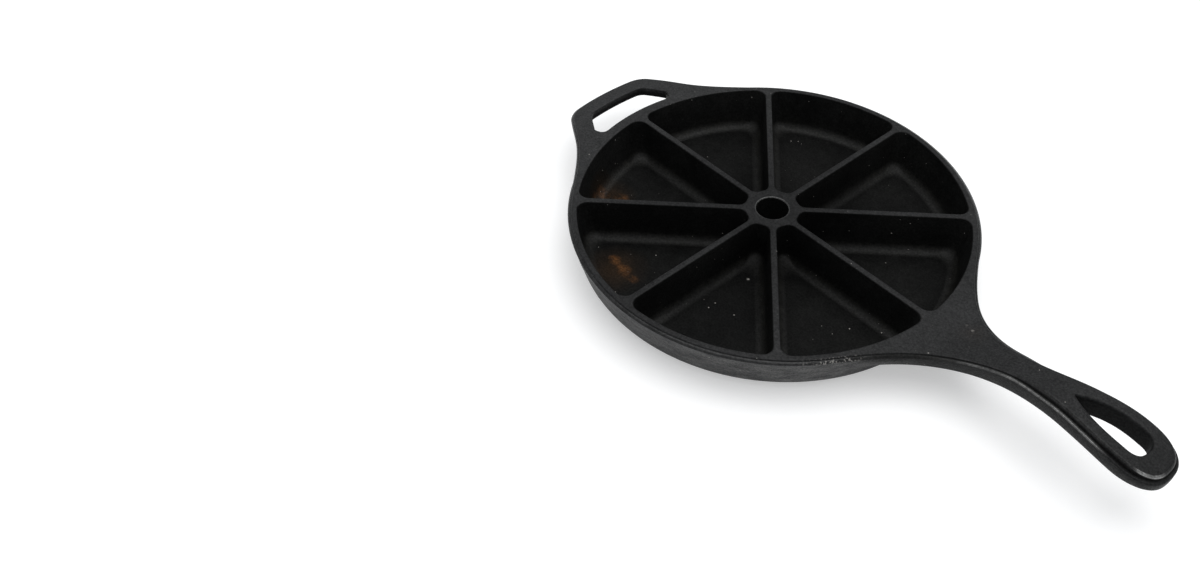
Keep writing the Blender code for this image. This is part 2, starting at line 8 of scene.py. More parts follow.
# %% Load the frame
import math
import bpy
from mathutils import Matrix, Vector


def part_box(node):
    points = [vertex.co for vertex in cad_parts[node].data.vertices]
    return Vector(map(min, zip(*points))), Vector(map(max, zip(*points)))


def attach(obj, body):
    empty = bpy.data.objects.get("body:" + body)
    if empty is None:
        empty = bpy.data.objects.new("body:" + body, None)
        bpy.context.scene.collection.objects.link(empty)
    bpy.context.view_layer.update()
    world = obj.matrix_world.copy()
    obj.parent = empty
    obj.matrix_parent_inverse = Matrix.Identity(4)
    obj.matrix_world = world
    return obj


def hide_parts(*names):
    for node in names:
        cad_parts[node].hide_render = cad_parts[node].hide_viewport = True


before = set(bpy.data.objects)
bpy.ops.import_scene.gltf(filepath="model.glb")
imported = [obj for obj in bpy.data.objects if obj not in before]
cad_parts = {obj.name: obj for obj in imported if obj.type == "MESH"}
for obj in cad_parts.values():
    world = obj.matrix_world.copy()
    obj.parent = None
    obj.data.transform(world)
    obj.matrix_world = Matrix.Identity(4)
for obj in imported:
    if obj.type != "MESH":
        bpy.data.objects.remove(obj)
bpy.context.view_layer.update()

from types import SimpleNamespace

import bpy
import numpy as np
from mathutils import Matrix, Vector

# %% [markdown]
# The boxes of the regions tell where the bowl's axis stands, how high the top face lies and
# where one region ends and the next begins. Neighbours are kept 0.3 mm apart in the solids.
# Real iron has no such gap, so each skin here ends in the middle of it and meets the next one
# edge to edge.

# %% Sizes from the frame
GAP = 0.0003
LEDGE_REACH = 0.0020

floor_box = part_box("pan_floor")
hub_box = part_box("hub")
wall_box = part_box("outer_wall")
bar_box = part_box("divider_1")
handle_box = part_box("long_handle")
helper_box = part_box("helper_handle")

BOWL_X = (floor_box[0].x + floor_box[1].x) / 2
TOP = hub_box[1].z
FLOOR_TOP = floor_box[1].z
LEDGE_RADIUS = wall_box[1].y
RIM_RADIUS = LEDGE_RADIUS - LEDGE_REACH
HUB_SEAM = bar_box[0].x - BOWL_X - GAP / 2
WALL_SEAM = bar_box[1].x - BOWL_X + GAP / 2
NECK_SEAM = handle_box[0].x - BOWL_X - GAP / 2
TIP = handle_box[1].x - BOWL_X - LEDGE_REACH
ARM_SEAM = BOWL_X - helper_box[1].x - GAP / 2
GRIP = BOWL_X - helper_box[0].x - LEDGE_REACH
print("rim radius %.1f mm, tip at %.1f mm, grip at %.1f mm" % (RIM_RADIUS * 1e3, TIP * 1e3, GRIP * 1e3))

# %% [markdown]
# The other sizes are those that a box can't tell: widths, drafts and the radii of corners.
# A sand mould needs draft, a slight lean of every upright face, so that the pattern lifts out
# of the sand. The ledge round the rim marks the mould's parting line.

# %% Sizes of the casting
POCKETS = 8
SECTOR = 2 * math.pi / POCKETS
HALF = SECTOR / 2
RIM_WIDTH = 0.0033
POCKET_RADIUS = RIM_RADIUS - RIM_WIDTH
DEPTH = TOP - FLOOR_TOP
DIVIDER_WIDTH = 0.0037
DIVIDER_DRAFT = math.radians(3.0)
WALL_DRAFT = math.radians(9.5)
FLOOR_FILLET = 0.0060
WALL_CORNER = 0.0060
CORNER_GROWTH = 0.0020
HUB_CORNER = 0.0050
HUB_RADIUS = 0.0155
BORE_RADIUS = 0.0091
MOUTH_ROUND = 0.0006
WALL_LEAN = math.radians(16.0)
WALL_SLOPE = math.tan(WALL_LEAN)
BASE_CORNER = 0.0130
EDGE_ROUND = 0.0005
BAND_DROP = 0.0008
LEDGE_DROP = 0.0011
BAND_ROUND = 0.0002
LEDGE_ROUND = 0.0015
LOWER_ROUND = 0.0022
ROOT_FILLET = 0.0045
HANDLE_THICKNESS = 0.0105
HELPER_THICKNESS = 0.0062
BASE_RADIUS = LEDGE_RADIUS - WALL_SLOPE * (TOP - LEDGE_DROP)
UP = np.array([0.0, 0.0, 1.0])

# %% [markdown]
# A skin is a grid: rows run along a section of the iron, columns run round it. Every shape
# below is worked out as whole numpy arrays of shape (rows, columns, 3). Plans are drawn about
# the bowl's axis, and the last step moves the finished points to where the axis stands. These
# helpers make circles, mirror and turn outlines, and space points evenly along a line.

# %% Helpers for outlines


def polar(radius, angle):
    """Points of the plan: x = radius times cos(angle), y = radius times sin(angle)."""
    return np.stack(np.broadcast_arrays(radius * np.cos(angle), radius * np.sin(angle)), -1)


def blend(start, end, count):
    """Rows that run in straight lines from one row of points to another, both included."""
    t = np.linspace(0.0, 1.0, count)[:, None, None]
    return start[None] * (1 - t) + end[None] * t


def flip_y(points):
    """The same points on the other side of the long handle's line: y becomes minus y."""
    return points * np.array([1.0, -1.0, 1.0][:points.shape[-1]])


def turned(points, angle):
    """Plan points turned about the bowl's axis by an angle."""
    c, s = math.cos(angle), math.sin(angle)
    return points @ np.array([[c, s], [-s, c]])


def resample(points, count):
    """The same line with count points, evenly spaced by length."""
    run = np.concatenate([[0.0], np.cumsum(np.linalg.norm(np.diff(points, axis=0), axis=1))])
    want = np.linspace(0.0, run[-1], count)
    return np.stack([np.interp(want, run, points[:, i]) for i in range(points.shape[1])], -1)


def left_normals(points):
    """Unit normals on the left of a line of plan points, from central differences."""
    along = np.gradient(points, axis=0)
    along /= np.linalg.norm(along, axis=1)[:, None]
    return np.stack([-along[:, 1], along[:, 0]], -1)


def cubic(p0, out0, pull0, p1, in1, pull1, count=200):
    """A cubic curve that leaves p0 along out0 and reaches p1 along in1."""
    t = np.linspace(0.0, 1.0, count)[:, None]
    a = p0 + out0 * pull0
    b = p1 - in1 * pull1
    return p0 * (1 - t) ** 3 + 3 * a * t * (1 - t) ** 2 + 3 * b * t * t * (1 - t) + p1 * t ** 3


def smooth_step(t):
    """0 to 1 with level ends: t squared times (3 - 2 t)."""
    t = np.clip(t, 0.0, 1.0)
    return t * t * (3 - 2 * t)


def unit(vectors):
    """The same vectors, each of length one."""
    return vectors / np.linalg.norm(vectors, axis=-1, keepdims=True)


def rounded(corners, radii, steps):
    """Lines through rows of corners, where each inner corner becomes an arc of its radius.

    With u and v the ways to the neighbours and 2 h the angle between them, the arc's centre
    lies radius / sin(h) along their middle, and it touches both sides radius / tan(h) away.
    """
    rows = [corners[:1]]
    for before, corner, after, radius in zip(corners, corners[1:], corners[2:], radii):
        radius = np.broadcast_to(radius, corner.shape[:-1])[..., None]
        u, v = unit(before - corner), unit(after - corner)
        half = np.arccos(np.clip((u * v).sum(-1, keepdims=True), -1.0, 1.0)) / 2
        centre = corner + unit(u + v) * radius / np.sin(half)
        reach = radius / np.tan(half)
        t = np.linspace(0.0, 1.0, steps)[:, None, None]
        spoke = (corner + u * reach - centre) * (1 - t) + (corner + v * reach - centre) * t
        rows.append(centre + unit(spoke) * radius)
    return np.concatenate(rows + [corners[-1:]])


# %% [markdown]
# A section of a pocket's side runs from the floor up to the flat top: a fillet, a leaning
# side and a small round at the mouth. The fillet ends level with the floor, so light runs
# over it without a line. Dividers lean less than the wall, so each height has two insets.

# %% The section of a pocket
FILLET_ROWS = 9
SIDE_ROWS = 4
ROUND_ROWS = 5
LAND_ROWS = 2


def pocket_section():
    """Heights, insets of the dividers, insets of the wall and growth of the wall corners.

    Fillet: z = floor + r (1 - sin a), inset = r (cos lean - cos a) for a from 90 degrees down
    to the lean. Side: a straight line. Mouth: a quarter circle that opens outwards.
    """
    lean = max(DIVIDER_DRAFT, WALL_DRAFT)
    a = np.linspace(math.pi / 2, lean, FILLET_ROWS)
    b = np.linspace(0.0, math.pi / 2, ROUND_ROWS)
    fillet_z = FLOOR_TOP + FLOOR_FILLET * (1 - np.sin(a))
    swing = FLOOR_FILLET * (math.cos(lean) - np.cos(a))
    side_z = np.linspace(fillet_z[-1], TOP - MOUTH_ROUND, SIDE_ROWS + 1)[1:-1]
    mouth_z = TOP - MOUTH_ROUND * (1 - np.sin(b))
    z = np.concatenate([fillet_z, side_z, mouth_z])
    straight = TOP - MOUTH_ROUND - fillet_z[-1]
    fall = np.concatenate([swing * 0 + 1, (TOP - MOUTH_ROUND - side_z) / straight, b * 0])
    open_out = np.concatenate([swing, side_z * 0, -MOUTH_ROUND * (1 - np.cos(b))])
    run = DEPTH - FLOOR_FILLET * (1 - math.sin(lean))
    return (z, fall * run * math.tan(DIVIDER_DRAFT) + open_out,
            fall * run * math.tan(WALL_DRAFT) + open_out, CORNER_GROWTH * (TOP - z) / DEPTH)


section_z, divider_in, wall_in, growth = pocket_section()
SECTION_ROWS = len(section_z)
beside = DIVIDER_WIDTH / 2 + divider_in
print("pocket section:", SECTION_ROWS, "rows, floor edge %.1f mm from a divider" % (divider_in[0] * 1e3))

# %% [markdown]
# Seen from above, a pocket is a wedge with four rounded corners. The hub keeps its inner end,
# the outer wall keeps its outer end, and the dividers keep the straight sides between them.
# Each half outline starts on the wedge's middle line and ends on a seam. Its mirror image and
# eight turns give the whole ring.

# %% Outlines of the pockets
HUB_COLUMNS = 5, 9, 4
WALL_COLUMNS = 14, 12, 5
SLIVER = 0.002
along_divider = polar(1.0, HALF)
into_pocket = polar(1.0, HALF - math.pi / 2)


def half_outline(centre, centre_angle, corner, arc_radius, sweep, seam, columns):
    """Arc on the bowl's axis, corner arc about (centre, centre_angle), then straight to the seam."""
    arc_points, corner_points, side_points = columns
    t = np.linspace(0.0, 1.0, arc_points)[:-1]
    arc = polar(arc_radius[:, None], centre_angle[:, None] * t)
    u = np.linspace(0.0, 1.0, corner_points)
    angles = sweep[0][:, None] * (1 - u) + sweep[1] * u
    bend = polar(centre, centre_angle)[:, None] + polar(1.0, angles) * corner[:, None, None]
    end = along_divider * seam + into_pocket * beside[:, None]
    s = np.linspace(0.0, 1.0, side_points)[1:, None]
    side = bend[:, -1:] * (1 - s) + end[:, None] * s
    return np.concatenate([arc, bend, side], 1)


def hub_half():
    """The inner end of a pocket. Its corner stays a sliver of an angle off the middle line."""
    near = np.maximum(HUB_RADIUS + divider_in + HUB_CORNER,
                      (beside + HUB_CORNER) / math.sin(HALF - SLIVER))
    angle = HALF - np.arcsin((beside + HUB_CORNER) / near)
    return half_outline(near, angle, near * 0 + HUB_CORNER, near - HUB_CORNER,
                        (angle + math.pi, HALF + math.pi / 2), HUB_SEAM, HUB_COLUMNS)


def wall_half():
    """The outer end of a pocket, from its middle line to the wall's seam."""
    corner = WALL_CORNER + growth
    far = POCKET_RADIUS - wall_in - corner
    angle = HALF - np.arcsin((beside + corner) / far)
    return half_outline(far, angle, corner, far + corner, (angle, HALF + math.pi / 2),
                        WALL_SEAM, WALL_COLUMNS)


def with_height(plan, z):
    """Rows of plan points, lifted to one height a row."""
    return np.concatenate([plan, np.broadcast_to(z[:, None, None], plan.shape[:2] + (1,))], -1)


# %% [markdown]
# Every grid becomes quads in one step. A part may need several grids, which share points along
# their borders, so equal points are welded. Faces that lie against a neighbouring region are
# marked as hidden: they close the solid, and they stay out of the smooth shading. Four marks
# travel with the points and steer the finish: how rubbed an edge is, which also paints highlights
# and glints; how deep in a pocket or a crease the point lies, which darkens it for the seasoning
# in the pockets and as painted shade in creases, the bore, the eye and the slot; whether it is on
# the outer side, which is painted lighter as light bounced from the floor; and whether it is on
# a fillet, which gets a painted highlight tone.

# %% From grids to parts
parts = {}
MARKS = ("worn", "pocket", "side", "fillet")
LISTS = ("points", "faces", "hidden", "level") + MARKS


def quads(rows, columns, wrap_rows, wrap_columns, flip):
    """Corner numbers of the quads of a grid, in order of rows and then columns."""
    i = np.arange(rows if wrap_rows else rows - 1)
    j = np.arange(columns if wrap_columns else columns - 1)
    i, j = (g.ravel() for g in np.meshgrid(i, j, indexing="ij"))
    k, m = (i + 1) % rows, (j + 1) % columns
    corners = np.stack([i * columns + j, i * columns + m, k * columns + m, k * columns + j], -1)
    return corners[:, ::-1] if flip else corners


def no_marks(rows):
    """A row of noughts for each mark."""
    return {mark: np.zeros(rows) for mark in MARKS}


def mirrored(half):
    """A half grid that ends on the long handle's line, and its mirror image after it."""
    return np.concatenate([half, flip_y(half[:, -2::-1])], 1)


def add_grid(name, grid, wrap_rows=False, wrap_columns=False, flip=False, hidden=None, marks=None,
             level_rows=()):
    """Adds a grid to a part. hidden marks quads, marks go by row or by point, level_rows point up."""
    rows, columns = grid.shape[:2]
    part = parts.setdefault(name, {key: [] for key in LISTS} | {"caps": [], "count": 0})
    faces = quads(rows, columns, wrap_rows, wrap_columns, flip)
    part["faces"].append(faces + part["count"])
    part["hidden"].append(np.zeros(len(faces), bool) if hidden is None else hidden.ravel())
    part["points"].append(grid.reshape(-1, 3))
    for mark in MARKS:
        values = np.reshape((marks or {}).get(mark, np.zeros(rows)), (rows, -1))
        part[mark].append(np.broadcast_to(values, (rows, columns)).ravel())
    level = np.zeros(rows, bool)
    level[list(level_rows)] = True
    part["level"].append(np.repeat(level, columns))
    part["count"] += rows * columns
    return part["count"] - rows * columns


# %% [markdown]
# The outer wall's side leans in towards the base and ends in a large round corner. Both
# handles and the rim share one edge: a small round at the top, a short upright band, the
# ledge, and a leaning side that ends in a round lower corner on the handles. Each of the four
# rounds has five rows. The ledge is marked as worn, and its worn colour also paints a highlight
# on the ridge; the band above it is painted shade.

# %% The wall's side and the common edge
corner_reach = BASE_CORNER * math.tan((math.pi / 2 - WALL_LEAN) / 2)
CORNER_TOP = corner_reach * math.cos(WALL_LEAN)
FLAT_RADIUS = BASE_RADIUS - corner_reach


def wall_radius(z):
    """Radius of the wall's outer side: a cone above, a circle of the base corner below."""
    drop = np.clip(BASE_CORNER - z, 0.0, BASE_CORNER)
    return np.where(z >= CORNER_TOP, BASE_RADIUS + WALL_SLOPE * z,
                    FLAT_RADIUS + np.sqrt(BASE_CORNER ** 2 - drop ** 2))


def edge_section(thickness, slope=WALL_SLOPE, fall=0.0, top_round=EDGE_ROUND, ledge_round=LEDGE_ROUND):
    """Steps out of the outline and steps down, one section a column, top to underside.

    Six corners make a section: far in on the top face, the outline's edge, the foot of the band,
    the ledge's lip, the lower corner and a point in on the underside. The four inner ones are
    rounded. The side runs in by slope times its height, and fall lowers band and ledge.
    """
    thickness, slope, fall, top_round, ledge_round = np.broadcast_arrays(
        np.atleast_1d(thickness), slope, fall, top_round, ledge_round)
    ledge = LEDGE_DROP + fall
    low = LEDGE_REACH - slope * (thickness - ledge)
    flat = thickness * 0
    reach = np.stack([flat - 2 * top_round, flat, flat, flat + LEDGE_REACH, low, low - LOWER_ROUND])
    drop = np.stack([flat, flat, BAND_DROP + fall, ledge, thickness, thickness])
    radii = [top_round, BAND_ROUND, ledge_round, LOWER_ROUND]
    return rounded(np.stack([reach, drop], -1), radii, ROUND_ROWS)[1:-1]


EDGE_WEAR_AND_HIGHLIGHT = 0.15
RIDGE_WEAR_AND_HIGHLIGHT = 0.5, 1.0, 1.0, 0.6, 0.0
CREASE_SHADE = 0.1
EDGE_ROWS = len(edge_section(HANDLE_THICKNESS))
BAND = slice(ROUND_ROWS, 2 * ROUND_ROWS)
LEDGE = slice(2 * ROUND_ROWS, 3 * ROUND_ROWS)
edge_marks = no_marks(EDGE_ROWS)
# The top round and the ledge are marked as worn, partly a painted highlight; the band is painted shade, a
# crease darkened in colour.
edge_marks["worn"][1:ROUND_ROWS] = EDGE_WEAR_AND_HIGHLIGHT
edge_marks["worn"][LEDGE] = RIDGE_WEAR_AND_HIGHLIGHT
edge_marks["side"][LEDGE.stop - 1:] = 1.0
edge_marks["pocket"][BAND] = CREASE_SHADE
# The fillet mark paints a lighter highlight tone on the fillets and raises their gloss.
pocket_marks = {"pocket": np.concatenate([np.ones(SECTION_ROWS - ROUND_ROWS),
                                          np.linspace(1.0, 0.0, ROUND_ROWS)]),
                "fillet": np.sin(math.pi * np.minimum(np.arange(SECTION_ROWS) / FILLET_ROWS, 1.0))}
print("edge section:", EDGE_ROWS, "rows")

# %% [markdown]
# The hub is one closed grid. Its rows climb a pocket's side, cross the flat top to the bore
# and go down the bore. Between two pockets the columns step across the cut end of a divider's
# stub, and those quads are hidden.

# %% The hub
BORE_ROUND = 0.0008
BORE_STEPS = 3


def ring_of_pockets(half):
    """A half outline, its mirror image and their eight turns, as one closed line a row."""
    whole = np.concatenate([flip_y(half[:, :0:-1]), half], 1)
    return np.concatenate([turned(whole, (k + 0.5) * SECTOR) for k in range(POCKETS)], 1)


def make_hub():
    """Side rows, then straight rows over the top, a quarter circle and the bore."""
    side = with_height(ring_of_pockets(hub_half()), section_z)
    angle = np.arctan2(side[-1, :, 1], side[-1, :, 0])
    b = np.linspace(0.0, math.pi / 2, ROUND_ROWS)
    radius = np.concatenate([BORE_RADIUS + BORE_ROUND * (1 - np.sin(b)), [BORE_RADIUS] * BORE_STEPS])
    z = np.concatenate([TOP - BORE_ROUND * (1 - np.cos(b)),
                        np.linspace(TOP - BORE_ROUND, FLOOR_TOP, BORE_STEPS + 1)[1:]])
    bore = with_height(polar(radius[:, None], angle), z)
    land = blend(side[-1], bore[0], LAND_ROWS + 2)[1:-1]
    grid = np.concatenate([side, land, bore])
    rows, columns = grid.shape[:2]
    hidden = np.zeros((rows, columns), bool)
    hidden[-1] = True
    hidden[:SECTION_ROWS - 1, columns // POCKETS - 1::columns // POCKETS] = True
    marks = no_marks(rows)
    for mark, values in pocket_marks.items():
        marks[mark][:SECTION_ROWS] = values
    mouth = SECTION_ROWS + LAND_ROWS
    # Painted glint on the bore's round, through the worn mark; painted shade down the bore.
    marks["worn"][mouth + 1:mouth + ROUND_ROWS - 1] = 1.0
    marks["pocket"][mouth + ROUND_ROWS - 1:] = 1.0
    add_grid("hub", grid, True, True, False, hidden, marks, [0])


make_hub()
print("hub:", parts["hub"]["count"], "points")

# %% [markdown]
# A divider is a straight bar with the same section on both sides. One profile is carried from
# the hub's seam to the wall's seam, and both ends are closed with one flat face. Along the middle
# of the two dividers that run along Y the fillet mark fades, so the painted highlight tone on
# their fillets and their gloss fade there.

# %% The eight dividers
DIVIDER_STATIONS = 7
SHADED_FILLET_DIVIDERS = 3, 7
FILLET_SHADE_SHARE = 0.6


def make_divider(number):
    """Left section up, right section down; the section is the same at each station."""
    left = np.stack([beside, section_z], -1)
    profile = np.concatenate([left, (left * [-1, 1])[::-1]])
    stations = np.linspace(HUB_SEAM, WALL_SEAM, DIVIDER_STATIONS)
    rows, columns = len(profile), len(stations)
    plan = np.empty((rows, columns, 2))
    plan[..., 0] = stations
    plan[..., 1] = profile[:, :1]
    grid = with_height(turned(plan, (number - 1) * SECTOR), profile[:, 1])
    hidden = np.zeros((rows, columns - 1), bool)
    hidden[-1] = True
    marks = {mark: np.concatenate([values, values[::-1]]) for mark, values in pocket_marks.items()}
    if number in SHADED_FILLET_DIVIDERS:
        fade = 1 - FILLET_SHADE_SHARE * np.sin(np.linspace(0.0, math.pi, columns)) ** 0.5
        marks["fillet"] = marks["fillet"][:, None] * fade
    name = "divider_%d" % number
    first = add_grid(name, grid, True, False, True, hidden, marks, [0, rows - 1])
    ends = np.arange(rows) * columns + first
    parts[name]["caps"] += [ends[::-1], ends + columns - 1]


for number in range(1, POCKETS + 1):
    make_divider(number)
print("dividers:", POCKETS, "of", parts["divider_1"]["count"], "points")

# %% [markdown]
# The outline of the outer wall follows the rim, but swells into the neck of the long handle
# and into the two arms of the helper. Each swell is a cubic curve that leaves the rim along
# its tangent. The helper is drawn on the +X side and then mirrored.

# %% Curves of the neck and the arms
NECK_OUT = 0.0572
NECK_WIDTH = 0.0147
NECK_FLARE = math.radians(32.4)
NECK_RIM_PULL = 0.0380
NECK_PULL = 0.0405
HELPER_FLARE = math.radians(41.9)
HELPER_RIM_PULL = 0.0467
HELPER_PULL = 0.0240
HELPER_SLOPE = math.radians(34.3)
HELPER_HALF = 0.0307
HELPER_CORNER_LENGTH = 0.0073
SLOT_INNER_HALF = 0.0292
SLOT_WALL = 0.0033
SLOT_CORNER = 0.0035
SLOT_PULL = 0.0021
SLOT_END_CORNER = 0.0055
SLOT_END_PULL = 0.0034
NECK = RIM_RADIUS + NECK_OUT
AHEAD = np.array([1.0, 0.0])
NEAR_STATION = 1e-5
NEAR_ANGLE = 1e-6
arm_way = polar(1.0, -HELPER_SLOPE)


def clockwise(angle):
    """Direction along a circle on the bowl's axis, against the growing angle."""
    return np.array([math.sin(angle), -math.cos(angle)])


neck_curve = cubic(polar(RIM_RADIUS, NECK_FLARE), clockwise(NECK_FLARE), NECK_RIM_PULL,
                   np.array([NECK, NECK_WIDTH / 2]), AHEAD, NECK_PULL)
arm_curve = cubic(polar(RIM_RADIUS, HELPER_FLARE), clockwise(HELPER_FLARE), HELPER_RIM_PULL,
                  np.array([GRIP - HELPER_CORNER_LENGTH, HELPER_HALF]), arm_way, HELPER_PULL)


def part_at(curve, x):
    """Both pieces of a curve that is cut at a station x, and the normal slid along the cut."""
    y = np.interp(x, curve[:, 0], curve[:, 1])
    cut = np.array([[x, y]])
    before, after = curve[curve[:, 0] < x - NEAR_STATION], curve[curve[:, 0] > x + NEAR_STATION]
    steep = np.interp(x, curve[:, 0], left_normals(curve)[:, 1])
    return np.concatenate([before, cut]), np.concatenate([cut, after]), np.array([0.0, 1 / steep])


neck_inside, neck_outside, neck_slide = part_at(neck_curve, NECK_SEAM)
arm_inside, arm_outside, arm_slide = part_at(arm_curve, ARM_SEAM)
print("neck is %.1f mm wide at its seam, an arm ends %.1f mm off the middle"
      % (neck_outside[0, 1] * 2e3, arm_outside[0, 1] * 1e3))

# %% [markdown]
# The outer wall is one closed grid too. A column is a cut through the iron: up the pocket's
# side, over the top, down the rim's edge and down to the base. Its foot on the pocket and its
# foot on the rim are looked up at the same angle, in tables for half of the ring. The other
# half is the mirror image.

# %% The pockets' side of the wall
STUB_SHARES = 0.8, 0.35
STUB_COLUMNS = WALL_COLUMNS[2] - 1


def inner_table():
    """Plan points of the pockets' side for half of the ring, and an angle for each of them.

    The columns along a divider's stub lie almost in line with the axis, so they get even shares
    of the angle that is left between the corner and the divider's middle.
    """
    half = wall_half()
    top = half[-1]
    angle = np.arctan2(top[:, 1], top[:, 0])
    corner_gap = HALF - angle[-STUB_COLUMNS - 1]
    angle[-STUB_COLUMNS:] = HALF - corner_gap * np.linspace(*STUB_SHARES, STUB_COLUMNS)
    whole = np.concatenate([flip_y(half[:, :0:-1]), half], 1)
    whole_angle = np.concatenate([-angle[:0:-1], angle])
    middle = np.stack([polar(WALL_SEAM, 0.0)] * SECTION_ROWS)[:, None]
    plan, angles = [middle], [np.zeros(1)]
    for k in range(POCKETS // 2):
        plan += [turned(whole, (k + 0.5) * SECTOR), turned(middle, (k + 1) * SECTOR)]
        angles += [whole_angle + (k + 0.5) * SECTOR, np.array([(k + 1) * SECTOR])]
    return np.concatenate(plan, 1), np.concatenate(angles)


inner_plan, inner_angle = inner_table()
SEAM_ANGLE = inner_angle[1]
print("pockets' side:", len(inner_angle), "columns for half of the ring")

# %% [markdown]
# On the outside a column lies on the rim, on a swell, on the slot of the helper, or on one of
# the flat cuts where a handle is parted off. The kind of a column decides which steps of the
# common edge it takes.

# %% The outside of the wall
EDGE, CUT, SLOT = 0, 1, 2
NECK_COLUMNS = 36
RIM_COLUMNS = 120
ARM_COLUMNS = 28
CUT_COLUMNS = 3
SLOT_COLUMNS = 10
SLOT_END_COLUMNS = 13
LEAST_STEP = 0.002
SLOT_RADIUS = RIM_RADIUS + SLOT_WALL
neck_angle = math.atan2(neck_inside[-1, 1], neck_inside[-1, 0])
arm_angle = math.pi - math.atan2(arm_inside[-1, 1], arm_inside[-1, 0])
slot_start = math.atan2(SLOT_INNER_HALF, ARM_SEAM)
slot_end = slot_start - SLOT_END_CORNER / SLOT_RADIUS
flip_x = np.array([-1.0, 1.0])


def between(low, high, extra=0):
    """The pocket side's angles between two limits, with evenly spaced ones added to them."""
    keys = inner_angle[(inner_angle > low) & (inner_angle < high)]
    added = np.linspace(low, high, extra + 2)[1:-1]
    if len(keys) and extra:
        added = added[np.abs(added[:, None] - keys).min(1) > LEAST_STEP]
    return np.sort(np.concatenate([keys, added]))


def on_curve(curve, slide, angles):
    """Points and normals of a swell, looked up by angle; the last one lies on the cut."""
    own = np.arctan2(curve[:, 1], curve[:, 0])[::-1]
    normal = left_normals(curve)[::-1]
    plan = np.stack([np.interp(angles, own, curve[::-1, i]) for i in (0, 1)], -1)
    out = np.stack([np.interp(angles, own, normal[:, i]) for i in (0, 1)], -1)
    out /= np.linalg.norm(out, axis=1)[:, None]
    out[np.abs(angles - own[0]) < NEAR_ANGLE] = slide
    return plan, out


def cut_line(x, angles):
    """Points of the flat cut at a station x: y = x times tan(angle)."""
    return np.stack([np.full(len(angles), x), x * np.tan(angles)], -1)


def outer_table():
    """Angles, plan points, normals, kinds and share of the neck's thickness for half a ring."""
    arm_start = math.pi - HELPER_FLARE
    handle_cut = np.concatenate([[0.0], between(0.0, neck_angle)])
    neck = np.concatenate([[neck_angle], between(neck_angle, NECK_FLARE, NECK_COLUMNS)])
    rim = np.concatenate([[NECK_FLARE], between(NECK_FLARE, arm_start, RIM_COLUMNS)])
    arm = np.concatenate([[arm_start], between(arm_start, arm_angle, ARM_COLUMNS), [arm_angle]])
    arm_cut = between(arm_angle, math.pi - slot_start, CUT_COLUMNS)
    slot = np.concatenate([between(math.pi - slot_end, math.pi, SLOT_COLUMNS), [math.pi]])

    neck_plan, neck_out = on_curve(neck_inside, neck_slide, neck)
    arm_plan, arm_out = on_curve(arm_inside, arm_slide, math.pi - arm)
    start = np.array([ARM_SEAM, SLOT_INNER_HALF])
    corner = cubic(start, -start / np.linalg.norm(start), SLOT_END_CORNER,
                   polar(SLOT_RADIUS, slot_end), clockwise(slot_end), SLOT_END_PULL, SLOT_END_COLUMNS)
    corner_out = left_normals(corner)
    corner_out[0] = [0.0, -1.0]
    slot_corner = math.pi - np.arctan2(corner[:, 1], corner[:, 0])
    stretches = [
        (CUT, handle_cut, cut_line(NECK_SEAM, handle_cut), np.tile(AHEAD, (len(handle_cut), 1))),
        (EDGE, neck, neck_plan, neck_out),
        (EDGE, rim, polar(RIM_RADIUS, rim), polar(1.0, rim)),
        (EDGE, arm, arm_plan * flip_x, arm_out * flip_x),
        (CUT, arm_cut, cut_line(-ARM_SEAM, arm_cut), np.tile(-AHEAD, (len(arm_cut), 1))),
        (SLOT, slot_corner, corner * flip_x, corner_out * flip_x),
        (SLOT, slot, polar(SLOT_RADIUS, slot), polar(1.0, slot))]
    kind = np.concatenate([np.full(len(angles), kind) for kind, angles, _, _ in stretches])
    angles, plan, out = (np.concatenate([row[i] for row in stretches]) for i in (1, 2, 3))
    sweep = arm_start - NECK_FLARE
    neck_share = np.clip(1 - (angles - NECK_FLARE) / sweep, 0.0, 1.0)
    return angles, plan, out, kind, neck_share


column_angle, outer_plan, outer_normal, outer_kind, neck_share = outer_table()
print("outside:", len(column_angle), "columns for half of the ring")

# %% [markdown]
# With both tables in hand, the sections are put together as whole arrays. Where a handle
# overhangs the wall, an elliptic fillet brings its underside down to the wall. On the bare
# rim the same rows simply lie on the wall. The band, and at the root the ledge as well, get
# painted shade towards the long handle.

# %% The outer wall
ROOT_STEPS = 6
CONE_STEPS = 3
CORNER_STEPS = 5
NECK_SHADE_FROM = 0.050
NECK_SHADE = 0.8
ROOT_START = 0.090
ROOT_RUN = 0.025


def look_up_inner(angles):
    """The pocket side at any angles, by straight lines between the table's points."""
    place = np.interp(angles, inner_angle, np.arange(len(inner_angle)))
    low = np.minimum(place.astype(int), len(inner_angle) - 2)
    t = (place - low)[None, :, None]
    return inner_plan[:, low] * (1 - t) + inner_plan[:, low + 1] * t


def edge_rows():
    """The common edge along the outside: plan point + normal times reach, height less drop."""
    steps = edge_section(HANDLE_THICKNESS * neck_share + HELPER_THICKNESS * (1 - neck_share))
    reach, drop = steps[..., 0], steps[..., 1]
    reach = np.where(outer_kind == CUT, 0.0, reach)
    slot_reach = np.where(np.arange(EDGE_ROWS)[:, None] < ROUND_ROWS, reach, 0.0)
    reach = np.where(outer_kind == SLOT, slot_reach, reach)
    plan = outer_plan + outer_normal * reach[..., None]
    plan[..., 0] = np.clip(plan[..., 0], -ARM_SEAM, NECK_SEAM)
    cuts = np.flatnonzero(outer_kind == CUT)
    neck_start = np.argmax(outer_kind != CUT)
    arm = cuts[cuts > neck_start]
    for first, last in ((0, neck_start), (arm[0] - 1, arm[-1] + 1)):
        span = slice(first, last + 1)
        t = (outer_plan[span, 1] - outer_plan[first, 1]) / (outer_plan[last, 1] - outer_plan[first, 1])
        plan[:, span, 1] = plan[:, [first], 1] * (1 - t) + plan[:, [last], 1] * t
    z = TOP - drop
    radius = np.linalg.norm(plan, axis=-1)
    least = np.where(drop > LEDGE_DROP, wall_radius(z), 0.0)
    plan *= (np.maximum(radius, least) / radius)[..., None]
    return np.concatenate([plan, z[..., None]], -1)


